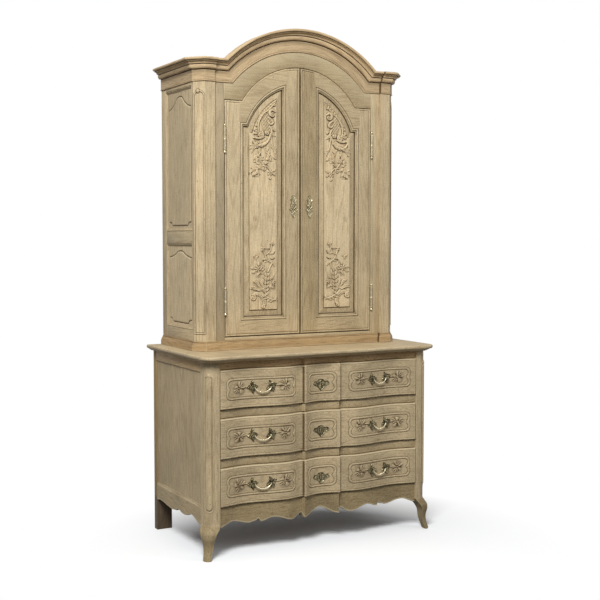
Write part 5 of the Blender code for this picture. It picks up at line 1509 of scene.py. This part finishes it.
# Shares of the height and widths of shadow lines painted under the undercut, the fillet and the nose.
CORNICE_SHADOW_LINES = ((0.510, 0.020), (0.722, 0.012), (0.871, 0.010))


def cornice_profile():
    """Bead, frieze, undercut, quarter round, fillet, hollow and nose, as shares of reach and height."""
    turn = np.linspace(-np.pi / 2, np.pi / 2, 7)
    bead = np.column_stack([0.06 + 0.06 * np.cos(turn), 0.034 + 0.030 * np.sin(turn)])
    frieze = [(0.03, 0.070), (0.07, 0.078), (0.07, 0.090), (0.07, 0.28), (0.07, 0.455), (0.10, 0.475),
              (0.10, 0.490), (0.05, 0.496), (0.05, 0.526)]
    turn = np.linspace(0, np.pi / 2, 9)
    quarter = np.column_stack([0.20 + 0.22 * np.sin(turn), 0.532 + 0.165 * (1 - np.cos(turn))])
    fillet = [(0.42, 0.706), (0.37, 0.712), (0.37, 0.732), (0.50, 0.738), (0.52, 0.745)]
    hollow = np.column_stack([0.54 + 0.28 * (1 - np.cos(turn)), 0.750 + 0.100 * np.sin(turn)])
    nose = [(0.82, 0.858), (0.77, 0.863), (0.77, 0.880), (0.90, 0.886), (0.97, 0.902), (1.0, 0.930),
            (1.0, 0.965), (0.985, 0.990), (0.95, 1.0), (0.70, 1.0)]
    return np.vstack([[(0.0, 0.0)], bead, frieze, quarter, fillet, hollow, nose])


def cornice_points(profile):
    """Each profile point's own path: an arc about the arch's centre to where it meets its own level line.

    From there the paths run on straight, mitred at every corner of the cupboard's plan.
    """
    out, rise = profile.T
    radius = ARCH_RADIUS + rise
    level = CORNICE_BOTTOM + rise
    turn = np.linspace(0, 1, 57)[:, None] * np.arccos((level - ARCH_Z) / radius)
    bow = at(radius * np.sin(turn), DOOR_FRONT - out, ARCH_Z + radius * np.cos(turn))
    corner = CASE_LINE + np.array([(-0.001, 0), (0.001, 0), (0, 0), (0, 0), (0, 0)])
    leave = np.vstack([AHEAD, AHEAD, CASE_OUT[2:]])
    plan = corner[:, None] + out[:, None] * leave[:, None]
    flat = at(plan[..., 0], plan[..., 1], level)
    corners = np.concatenate([bow[-1:], flat]).reshape(len(corner) + 1, -1)
    straight = along_line(corners, 6, 0.004 * math.sqrt(len(profile))).reshape(-1, len(profile), 3)
    right = np.concatenate([bow[:-1], straight])
    return np.concatenate([(right * (-1, 1, 1))[:0:-1], right])


profile = cornice_profile() * (CORNICE_OUT, CORNICE_HEIGHT)
profile = np.vstack([[(-CORNICE_SEAT, 0.0)], profile, [(-CORNICE_SEAT, CORNICE_HEIGHT)]])
points = cornice_points(profile)
share = profile[:, 1] / CORNICE_HEIGHT
shadow_lines = np.clip(sum(bell(share - place, wide) for place, wide in CORNICE_SHADOW_LINES), 0, 1)
corner = np.abs(np.abs(points[:, :1, 0]) - POST_INNER) < 0.002
# The cornice is painted lighter from its quarter round up and darker below, as the nose shades the lower
# members; painted shade also lies in the lines and where it turns at the posts.
piece("arched_cornice", points, "case", CORNICE_OAK, ["cornice"], tone=0.26 + 0.54 * (share > 0.53),
      wear_dirt_and_shading=-0.30 * (shadow_lines + 1.2 * corner), run=run_grain(points, 0))
print("cornice:", points.shape[0], "stations of", points.shape[1], "points")

# %% [markdown]
# ## The doors
# A door is a frame of two stiles and two rails, moulded inside, with a panel that floats in a groove. One
# bevelled ring would be quicker, but its grain would run one way. Here the frame's columns walk round the
# door in four groups, so each stile and rail has its own grain, and the joints stand where a joiner cuts
# them: stiles full height, rails between.

# %% Door outlines
LOCK_STILE = 0.074
HINGE_STILE = 0.068
DOOR_RAIL = 0.066
PANEL_ARCH = 0.325
PANEL_ARCH_Z = 1.867
PANEL_SHOULDER = CORNICE_BOTTOM - 0.170
STILE_LOCK = DOOR_GAP / 2 + LOCK_STILE
STILE_HINGE = DOOR_HALF - HINGE_STILE
# In both doors the panel and its moulding sit 6 to 7 mm further right than the middle.
NUDGE = {"left": -0.007, "right": 0.006}


def walk(start, end, steps):
    """Even points from start to end, without the end."""
    return np.array(start) + (np.array(end) - np.array(start)) * (np.arange(steps) / steps)[:, None]


def arch_walk(radius, level, x0, x1, steps):
    """Points of an arch about its centre's level between two places across, without the last."""
    turn = np.linspace(math.asin(x0 / radius), math.asin(x1 / radius), steps + 1)[:-1]
    return np.column_stack([radius * np.sin(turn), level + radius * np.cos(turn)])


def door_outline(lock, hinge, low, shoulder, radius, level, joints):
    """Closed walk round a door in four groups: lock stile, arched top rail, hinge stile, bottom rail.

    The joints are the places across where the rails end; on the inner outline they are its corners.
    """
    near, far = joints
    head = level + math.sqrt(radius**2 - lock**2)
    end = math.sqrt(radius**2 - (shoulder - level) ** 2)
    return np.vstack([
        walk((near, low), (lock, low), 4), walk((lock, low), (lock, head), 30),
        arch_walk(radius, level, lock, near, 6), arch_walk(radius, level, near, end, 100),
        walk((end, shoulder), (far, shoulder), 4), walk((far, shoulder), (hinge, shoulder), 4),
        walk((hinge, shoulder), (hinge, low), 30), walk((hinge, low), (far, low), 4),
        walk((far, low), (near, low), 12)])


def door_outer(inset, nudge):
    """Outer outline moved inwards."""
    return door_outline(DOOR_GAP / 2 + inset, DOOR_HALF - inset, DOOR_BOTTOM + inset, DOOR_SHOULDER - inset,
                        DOOR_ARCH - inset, DOOR_ARCH_Z, (STILE_LOCK + nudge, STILE_HINGE + nudge))


def door_inner(inset, nudge):
    """Inner outline moved inwards, point for point with the outer one: joints fan from the four corners."""
    lock, hinge = STILE_LOCK + inset, STILE_HINGE - inset
    return door_outline(lock, hinge, DOOR_BOTTOM + DOOR_RAIL + inset, PANEL_SHOULDER - inset,
                        PANEL_ARCH - inset, PANEL_ARCH_Z, (lock, hinge)) + (nudge, 0.0)


print("door outline:", len(door_outer(0.0, 0.0)), "points")

# %% Door frames
DOOR_THICK = 0.026
DOOR_MOULD = 0.025
GROOVE_FRONT = 0.010
GROOVE_DEPTH = 0.008
GROOVE_BACK = GROOVE_FRONT + 0.0072
# Each row is inset, depth and painted shading, dark below zero and light above: the outer lip, dark as shade
# in the gap round the door, then the moulding inside and its groove.
LIP = [(0.0, 0.0070, -0.7), (0.0008, 0.0040, -0.7), (0.0018, 0.0018, -0.5), (0.0030, 0.0006, -0.1),
       (0.0046, 0.0, 0.08), (0.0084, 0.0002, 0.0), (0.0098, 0.0016, -0.1), (0.0110, 0.0020, -0.2),
       (0.0122, 0.0008, 0.0), (0.0136, 0.0, 0.0), (0.0180, 0.0, 0.0)]
LIP_BEAD = slice(5, 9)
DOOR_PROFILE = [(0.0, 0.0, 0.0), (0.0062, 0.0, 0.0), (0.0074, 0.0020, -0.2), (0.0088, 0.0026, -0.25),
                (0.0102, 0.0012, 0.0), (0.0122, 0.0, 0.1), (0.0146, 0.0, 0.1), (0.0168, 0.0012, 0.0),
                (0.0184, 0.0036, -0.1), (0.0194, 0.0046, -0.2), (0.0214, 0.0048, 0.0),
                (0.0234, 0.0056, -0.15), (0.0250, 0.0085, -0.45), (DOOR_MOULD, GROOVE_FRONT, -0.5),
                (DOOR_MOULD - GROOVE_DEPTH, GROOVE_FRONT, 0.0), (DOOR_MOULD - GROOVE_DEPTH, GROOVE_BACK, 0.0),
                (DOOR_MOULD, GROOVE_BACK, 0.0), (DOOR_MOULD, DOOR_THICK, 0.0)]
# Points of the outline in each member: lock stile, top rail, hinge stile, bottom rail.
MEMBERS = (40, 104, 38, 12)
DOOR_TONES = {"left": (-0.05, -0.10, 0.14, -0.12), "right": (-0.46, -0.14, 0.02, -0.14)}


def door_frame(word, side):
    """Loops from the outer lip over the flat frame and the moulding to the groove, then round the back."""
    nudge = NUDGE[word]
    loops = [(door_outer(inset, nudge), depth, dirt_and_shade) for inset, depth, dirt_and_shade in LIP]
    loops += [(door_inner(inset, nudge), depth, dirt_and_shade) for inset, depth, dirt_and_shade in DOOR_PROFILE]
    loops += [(door_outer(0.0, nudge), DOOR_THICK, -0.6)]
    points = np.stack([at(side * loop[:, 0], DOOR_FRONT + depth, loop[:, 1]) for loop, depth, _ in loops])
    wear_dirt_and_shading = np.array([dirt_and_shade for _, _, dirt_and_shade in loops])[:, None] + np.zeros(points.shape[1])
    # On the arched top rail the lip's bead is shallower and its painted shade a quarter as dark.
    plain = np.repeat((1.0, 0.25, 1.0, 1.0), MEMBERS)
    wear_dirt_and_shading[:len(LIP)] *= plain
    points[LIP_BEAD, :, 1] = DOOR_FRONT + (points[LIP_BEAD, :, 1] - DOOR_FRONT) * plain
    tone = np.repeat(DOOR_TONES[word], MEMBERS)
    name = f"door_frame_{word}"
    frame_piece = piece(f"moulded_{name}", points, f"door_{word}", OAK["Z"], [name], tone, wear_dirt_and_shading=wear_dirt_and_shading,
                        faces=ring_faces(*points.shape[:2]))
    frame_piece.data.materials.append(OAK["X"])
    centres = np.empty(len(frame_piece.data.polygons) * 3)
    frame_piece.data.polygons.foreach_get("center", centres)
    x, _, z = centres.reshape(-1, 3).T
    x = np.abs(x) - nudge
    between = (x > STILE_LOCK) & (x < STILE_HINGE)
    mitre_line = np.minimum(DOOR_MOULD, np.minimum(x - LOCK_STILE, STILE_HINGE - x))
    low_rail = z < DOOR_BOTTOM + DOOR_RAIL + mitre_line
    high_rail = z > PANEL_SHOULDER - DOOR_MOULD
    under_arch = np.hypot(x, z - PANEL_ARCH_Z) < PANEL_ARCH - DOOR_MOULD
    lock_moulding = (x < STILE_LOCK + DOOR_MOULD) & under_arch
    rail = between & (low_rail | (high_rail & ~lock_moulding))
    frame_piece.data.polygons.foreach_set("material_index", rail.astype(np.int32))


for word, side in HANDS:
    door_frame(word, side)
print("door frames:", len(PIECES[-1].data.polygons), "faces each")

# %% [markdown]
# ## The carved door panels
# Each panel has a bevel round a raised field. A trellis cartouche with scrolls and hanging sprays fills its
# arched head, and a flowering branch grows from a scroll at its foot. Sculpting would give freer leaves, but
# strokes written as places and widths can be read and changed. The doors mirror each other, so the carving
# is drawn once, from the lock side outwards.

# %% Carving of the panel's head
def carve_head(cut):
    """Cartouche at the arched head, in millimetres from the field's lock edge and from the arch's centre."""
    shell = [(12, 228), (34, 206), (56, 186), (76, 172), (94, 148), (104, 124), (106, 100), (104, 78)]
    leaf_row(cut, shell, 13, 16, 8, math.pi / 2.5, 5.6)
    ridge(cut, [(a - 6, b - 4) for a, b in shell], [2, 3, 3.4, 3], 5)
    lattice(cut, 55, 124, 26, 48, math.radians(-14), 13.5)
    ridge(cut, [(10, 178), (26, 186), (40, 176), (36, 160), (22, 156)], [3, 5.5, 4.5, 3], 6.8)
    volute(cut, 24, 166, 13, 0.6, 1.4, -1, 3.4, 6.8)
    ridge(cut, [(44, 150), (30, 140), (22, 126), (34, 118), (44, 126)], [3, 5, 4.5, 3], 6.5)
    ridge(cut, [(40, 108), (30, 92), (30, 74), (36, 56)], [3, 4.5, 3.5], 6)
    volute(cut, 86, 68, 14.5, 2.2, 1.6, 1, 3.6, 7)
    volute(cut, 52, 78, 10, 0.4, 1.3, -1, 3, 6.2)
    ridge(cut, [(128, 40), (112, 20), (86, 16), (60, 28), (44, 48), (36, 74)], [2.5, 6, 7.5, 6.5, 4.5, 2.5],
          7)
    ridge(cut, [(122, 52), (104, 50), (84, 52), (68, 58)], [2, 4, 4, 2], 5.5)
    leaves(cut, (30, 90, 6, 62, 11), (26, 96, 10, 86, 9, -0.2), (100, 86, 126, 72, 10, -0.2),
           (104, 80, 132, 90, 9), (16, 224, 6, 240, 8), (24, 214, 8, 210, 9))
    ridge(cut, [(32, 64), (28, 30), (20, 10), (6, 4)], [3.2, 2.6, 2], 4.5)
    leaves(cut, (112, 8, 144, 16, 9.5, 0.15, 5), (112, 8, 147, -4, 9.5, 0.15, 5),
           (112, 8, 136, -20, 9.5, 0.15, 5))
    ridge(cut, [(76, 16), (96, 10), (114, 7)], [3.5, 2.5], 4.6)
    leaves(cut, (84, 12, 90, -18, 10.5, 0.2), (70, 12, 57, -20, 11.5, -0.2), (46, 24, 46, -8, 10),
           (30, 14, 6, -22, 11, -0.15), (22, -22, 6, -44, 8.5))
    ridge(cut, [(90, -16), (98, -34), (86, -56), (72, -74), (54, -82), (40, -94)], [2.2, 3, 3, 2.6, 2.2],
          4.6)
    leaves(cut, (96, -36, 72, -34, 10.5, 0.25), (88, -52, 70, -50, 9, -0.2), (100, -32, 124, -50, 9.5),
           (98, -36, 122, -62, 8.5, -0.2), (50, -50, 30, -38, 9), (52, -52, 28, -56, 8, -0.2))
    volute(cut, 71, -91, 12.5, 1.2, 1.2, 1, 2.8, 5)
    ridge(cut, [(84, -92), (104, -92), (124, -92), (140, -88)], [2.8, 2.4, 1.8], 4.2)
    leaves(cut, (112, -94, 140, -112, 10.5), (108, -94, 120, -122, 10.5, -0.2), (104, -94, 100, -116, 9))
    leaf_row(cut, [(120, 26), (92, 10), (64, 18), (46, 36)], 7, 24, 10, -0.9, 5.8)
    leaf_row(cut, [(44, 10), (36, -24), (46, -60)], 5, 22, 9.5, 0.7, 5.2)
    leaf_row(cut, [(104, -20), (112, -50), (104, -78)], 4, 20, 9.5, -0.7, 5)
    bloom(cut, 38, -108, 17.5, 5, 0.4, 6.2)
    leaves(cut, (40, -118, 32, -142, 9), (26, -100, 8, -92, 9), (28, -112, 10, -124, 8.5, -0.2))


print("head of the panel drawn")

# %% Carving of the panel's foot
def carve_foot(cut):
    """Flowering branch at the foot, in millimetres from the field's lock edge and above its lower edge."""
    ridge(cut, [(1, 44), (21, 46), (43, 53), (59, 63), (64, 83), (64, 113), (61, 141), (60, 166), (72, 184),
          (92, 192)], [3, 3.6, 3.6, 3, 2.4], 5.2)
    leaves(cut, (14, 46, 8, 62, 10))
    ridge(cut, [(62, 60), (90, 85), (117, 97), (145, 101)], [3.4, 4.4, 4, 1.4], 5.6)
    leaves(cut, (110, 94, 142, 108, 9))
    band = [(130, 71), (109, 79), (88, 72), (73, 53), (66, 34), (71, 15)]
    ridge(cut, band, [4, 7, 7.5, 7, 4.5], 4.8)
    leaf_row(cut, band, 13, 11.5, 6.2, math.pi / 2.2, 6.2)
    volute(cut, 130, 58, 13.5, 1.5, 1.5, 1, 3.6, 7)
    volute(cut, 73, 14, 10.5, 2.4, 1.3, -1, 3, 6)
    leaves(cut, (94, 108, 127, 136, 12.5, 0.15, 5.5), (84, 92, 121, 113, 10.5, -0.15),
           (78, 110, 96, 136, 10.5, 0.3, 5.6), (78, 110, 70, 146, 10.5, -0.3, 5.6),
           (79, 110, 84, 142, 9, 0.0, 6.2))
    ridge(cut, [(66, 92), (74, 102), (79, 114)], [3, 2.6], 4.5)
    leaves(cut, (58, 94, 32, 118, 11.5))
    bloom(cut, 21, 129, 12.5, 5, 0.8, 5.5)
    leaves(cut, (50, 104, 18, 100, 8.5, -0.2), (51, 138, 12, 174, 9, 0.1), (56, 160, 44, 196, 12.5, 0.2))
    bloom(cut, 104, 194, 19, 6, 0.2, 6.2)
    leaves(cut, (118, 196, 143, 196, 10.5), (116, 188, 138, 178, 9.5, -0.2), (88, 178, 106, 162, 9),
           (100, 210, 98, 226, 9))
    ridge(cut, [(50, 180), (40, 200), (30, 222), (45, 231), (58, 244), (67, 266), (75, 284)],
          [2.4, 3.2, 3.2, 2.6, 2.2], 4.6)
    leaves(cut, (32, 222, 12, 206, 10.5, -0.2), (46, 231, 68, 224, 11, 0.25), (54, 240, 72, 238, 9))
    bloom(cut, 76, 288, 12.5, 4, 0.8, 5.8)
    leaf_row(cut, [(62, 70), (64, 100), (61, 140)], 5, 24, 10, 0.75, 5.6)
    leaf_row(cut, [(64, 80), (64, 110), (60, 160)], 5, 26, 10.5, -0.75, 5.6)
    leaf_row(cut, [(20, 46), (44, 54), (60, 66)], 4, 22, 9.5, -0.9, 5.2)
    leaf_row(cut, [(68, 180), (90, 194)], 3, 22, 9.5, 1.2, 5.2)
    bloom(cut, 29, 313, 13, 4, 0.3, 5.8)
    ridge(cut, [(60, 262), (46, 270), (34, 288), (30, 302)], [2.2, 2.6, 2], 4)
    leaves(cut, (46, 268, 12, 282, 9.5, 0.2), (112, 238, 128, 258, 8.5), (114, 238, 100, 256, 8.5, -0.2),
           (36, 246, 14, 250, 8.5))


print("foot of the panel drawn")

# %% Door panels
PANEL_TONGUE = DOOR_MOULD - GROOVE_DEPTH + CLEAR
FIELD_EDGE = DOOR_MOULD + 0.031
FIELD_SINK = 0.003
FIELD_STEP = 0.0036
FIELD_QUIRK = (0.0010, -0.0024, 0.0014)
# Painted shade in the groove under the moulding and along the foot of the field's step, darkest along its
# lower edge.
GROOVE_SHADE = (-0.45, 0.0, 0.0035)
FIELD_EDGE_SHADE = 0.14
FOOT_EDGE_SHADE = 0.40
# A square plug of newer wood mends the field.
PLUG_PLACE = (0.2485, 1.536)
PLUG_HALF = 0.0125
FIELD_LOCK = STILE_LOCK + FIELD_EDGE
FIELD_FOOT = DOOR_BOTTOM + DOOR_RAIL + FIELD_EDGE


def door_panel(word, side):
    """Bevel and raised field from the distance to the panel's outline, plus the carving."""
    lock, hinge = STILE_LOCK + PANEL_TONGUE, STILE_HINGE - PANEL_TONGUE
    low, shoulder = DOOR_BOTTOM + DOOR_RAIL + PANEL_TONGUE, PANEL_SHOULDER - PANEL_TONGUE
    radius = PANEL_ARCH - PANEL_TONGUE
    x = np.linspace(lock, hinge, 150)
    head = np.maximum(PANEL_ARCH_Z + np.sqrt(np.clip(radius**2 - x**2, 0, None)), shoulder)
    share = np.concatenate([np.linspace(0, 0.40, 270), np.linspace(0.40, 0.60, 31)[1:],
                            np.linspace(0.60, 1.0, 290)[1:]])
    across = np.broadcast_to(x, (len(share), len(x)))
    up = low + (head - low) * share[:, None]
    round_top = np.maximum(radius - np.hypot(across, up - PANEL_ARCH_Z), shoulder - up)
    inside = np.minimum(np.minimum(across - lock, hinge - across), np.minimum(up - low, round_top))
    inside = inside + PANEL_TONGUE
    flat = GROOVE_FRONT + CLEAR
    bevel = np.clip((inside - DOOR_MOULD) / (FIELD_EDGE - DOOR_MOULD), 0, 1)
    flat = flat + 0.0035 * step_up(inside - DOOR_MOULD + 0.002, 0.003)
    depth = flat - (flat - FIELD_SINK - FIELD_STEP) * bevel
    depth = depth - FIELD_STEP * step_up(inside - FIELD_EDGE, FIELD_STEP)
    depth = depth + line_cut(inside - FIELD_EDGE, *FIELD_QUIRK)
    relief = np.zeros_like(up)
    wear_dirt_and_shading = np.zeros_like(up)
    carve_head((relief, wear_dirt_and_shading, across - FIELD_LOCK, up - ARCH_Z))
    carve_foot((relief, wear_dirt_and_shading, across - FIELD_LOCK, up - FIELD_FOOT))
    relief *= step_up(inside - FIELD_EDGE - 0.001, 0.003)
    out = DOOR_FRONT + depth - relief
    wear_dirt_and_shading += line_cut(inside - DOOR_MOULD, *GROOVE_SHADE)
    below = np.where(up < FIELD_FOOT + 0.002, FOOT_EDGE_SHADE, FIELD_EDGE_SHADE)
    wear_dirt_and_shading -= below * bell(inside - FIELD_EDGE + 0.0020, 0.0022)
    # The ground near the carving is made a little darker.
    cut = (relief > 0.0008).astype(float)
    wear_dirt_and_shading -= 0.08 * np.clip(1.6 * local_mean(cut, 14), 0, 1) * (1 - cut)
    plug = np.maximum(np.abs(across - PLUG_PLACE[0]), np.abs(up - PLUG_PLACE[1]))
    wear_dirt_and_shading -= 0.11 * (plug < PLUG_HALF)
    field = step_up(inside - FIELD_EDGE, 0.004)
    relief_panel(f"carved_door_panel_{word}", side * (across + NUDGE[word]), up, out,
                 DOOR_FRONT + GROOVE_BACK - CLEAR, f"door_{word}", OAK["Z"], [f"door_panel_{word}"],
                 0.56 * field - 0.02, spread=26, depth=0.0050, wear_dirt_and_shading=wear_dirt_and_shading)


for word, side in HANDS:
    door_panel(word, side)
print("door panels:", len(PIECES[-1].data.polygons), "faces each")

# %% [markdown]
# ## Door brass
# Each door turns on two long pin hinges with turned finials, and each lock stile bears a tall scrolled
# plate; only the right one has a keyhole. Plain cylinders could stand for the hinges, but a turned profile
# shows the rings and the finials. The plates are relief again.

# %% Hinges
HINGE_X = 0.4015
HINGE_Y = -0.0898
HINGE_LENGTH = 0.136
BARREL = 0.006
THINNEST = 0.0002
HINGE_LEVELS = {"lower": BASE_TOP + 0.183, "upper": BASE_TOP + 0.940}
KNUCKLE = [(0.0, 0.0), (0.96, 0.0), (1.0, 0.012), (1.0, 0.055), (1.12, 0.065), (1.12, 0.085), (1.0, 0.095),
           (1.0, 0.72), (1.15, 0.735), (1.15, 0.755), (0.85, 0.77), (0.55, 0.81), (0.62, 0.84), (0.92, 0.875),
           (1.0, 0.905), (0.90, 0.94), (0.60, 0.965), (0.42, 0.98), (0.30, 1.0), (0.0, 1.0)]


def hinge_half(name, side, z, way, body, node):
    """A turned knuckle: radius by height from the joint out to the tip of the finial."""
    turn = np.linspace(0, math.tau, 25)[:-1]
    profile = np.array(KNUCKLE)
    radius = np.maximum(BARREL * profile[:, :1], THINNEST)
    points = at(side * HINGE_X + radius * np.cos(turn), HINGE_Y + radius * np.sin(turn),
                z + way * HINGE_LENGTH / 2 * profile[:, 1:])
    piece(name, points, body, BRIGHT_BRASS, [node])


print("hinges:", round(1000 * HINGE_LENGTH), "mm long")

# %% Tall key plates and all the door brass
DOOR_PLATE = (0.043, 0.110, 0.0026)
DOOR_PLATE_X = 0.045
DOOR_PLATE_Z = BASE_TOP + 0.630
PLATE_SHAPE = [(0.0, 0.04, 1), (0.09, 0.18, 1), (0.18, 0.32, 1), (0.25, 0.24, 1), (0.36, 0.50, 1),
               (0.45, 0.30, 1), (0.56, 0.38, 1), (0.68, 0.24, 1), (0.80, 0.36, 1), (0.88, 0.18, 1),
               (0.94, 0.22, 1), (1.0, 0.04, 1)]
PLATE_RIM = (0.0014, 0.0020, 0.0010)
PLATE_RING = (0.0022, 0.0105, 0.0020)


def door_plate(word, side):
    """A tall scrolled plate: half width by height from eased knots, raised rim, veins, maybe a keyhole."""
    wide, high, thick = DOOR_PLATE
    t = np.linspace(0, 1, 121)[:, None]
    s = np.concatenate([[-1, -0.97], np.linspace(-0.92, 0.92, 37), [0.97, 1]])[None]
    half = wide * ease(PLATE_SHAPE, t)
    across = half * s
    up = high * (t - 0.5) + 0 * s
    rim = half * (1 - np.abs(s))
    raised = thick * np.clip(rim / 0.0014, 0, 1) + line_cut(rim, *PLATE_RIM)
    raised += 0.0013 * np.cos(up * 420) * np.cos(across * 480) * np.clip(rim / 0.004, 0, 1)
    raised += line_cut(np.hypot(across, up), *PLATE_RING)
    if side > 0:
        raised -= 0.0045 * keyhole_depth(across, up)
    out = DOOR_FRONT - CLEAR - raised
    middle = side * (DOOR_PLATE_X + NUDGE[word])
    relief_panel(f"tall_key_plate_{word}", middle + across, DOOR_PLATE_Z + up, out, DOOR_FRONT - CLEAR / 2,
                 f"door_{word}", RUBBED_BRASS, [f"door_escutcheon_{word}"])


for word, side in HANDS:
    for level, z in HINGE_LEVELS.items():
        hinge_half(f"hinge_pin_half_{level}_{word}", side, z, -1, "case", f"hinge_fixed_{level}_{word}")
        hinge_half(f"hinge_turning_half_{level}_{word}", side, z, 1, f"door_{word}",
                   f"hinge_door_{level}_{word}")
    door_plate(word, side)
print("door brass done,", len(PIECES), "pieces so far")

# %% [markdown]
# ## Inside and behind
# The unseen boards are plain planks on the real piece too. They could be remade with eased edges, but the
# frame's own solids are close enough, so they only get a finish: bare oak that never saw wax.

# %% Finish the inner boards
INNER = {"bottom_board": "X", "commode_back": "Z", "drawer_box_top": "Y", "drawer_box_middle": "Y",
         "drawer_box_bottom": "Y", "shelf": "X", "upper_back": "Z", "upper_roof": "X"}
for node, along in INNER.items():
    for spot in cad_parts[node].material_slots:
        spot.material = INNER_OAK[along]
print("inner boards finished:", len(INNER))

# %% [markdown]
# ## The count
# The last cell counts the new pieces and their faces.

# %% Count the pieces and faces
print("pieces:", len(PIECES), "faces:", sum(len(p.data.polygons) for p in PIECES))
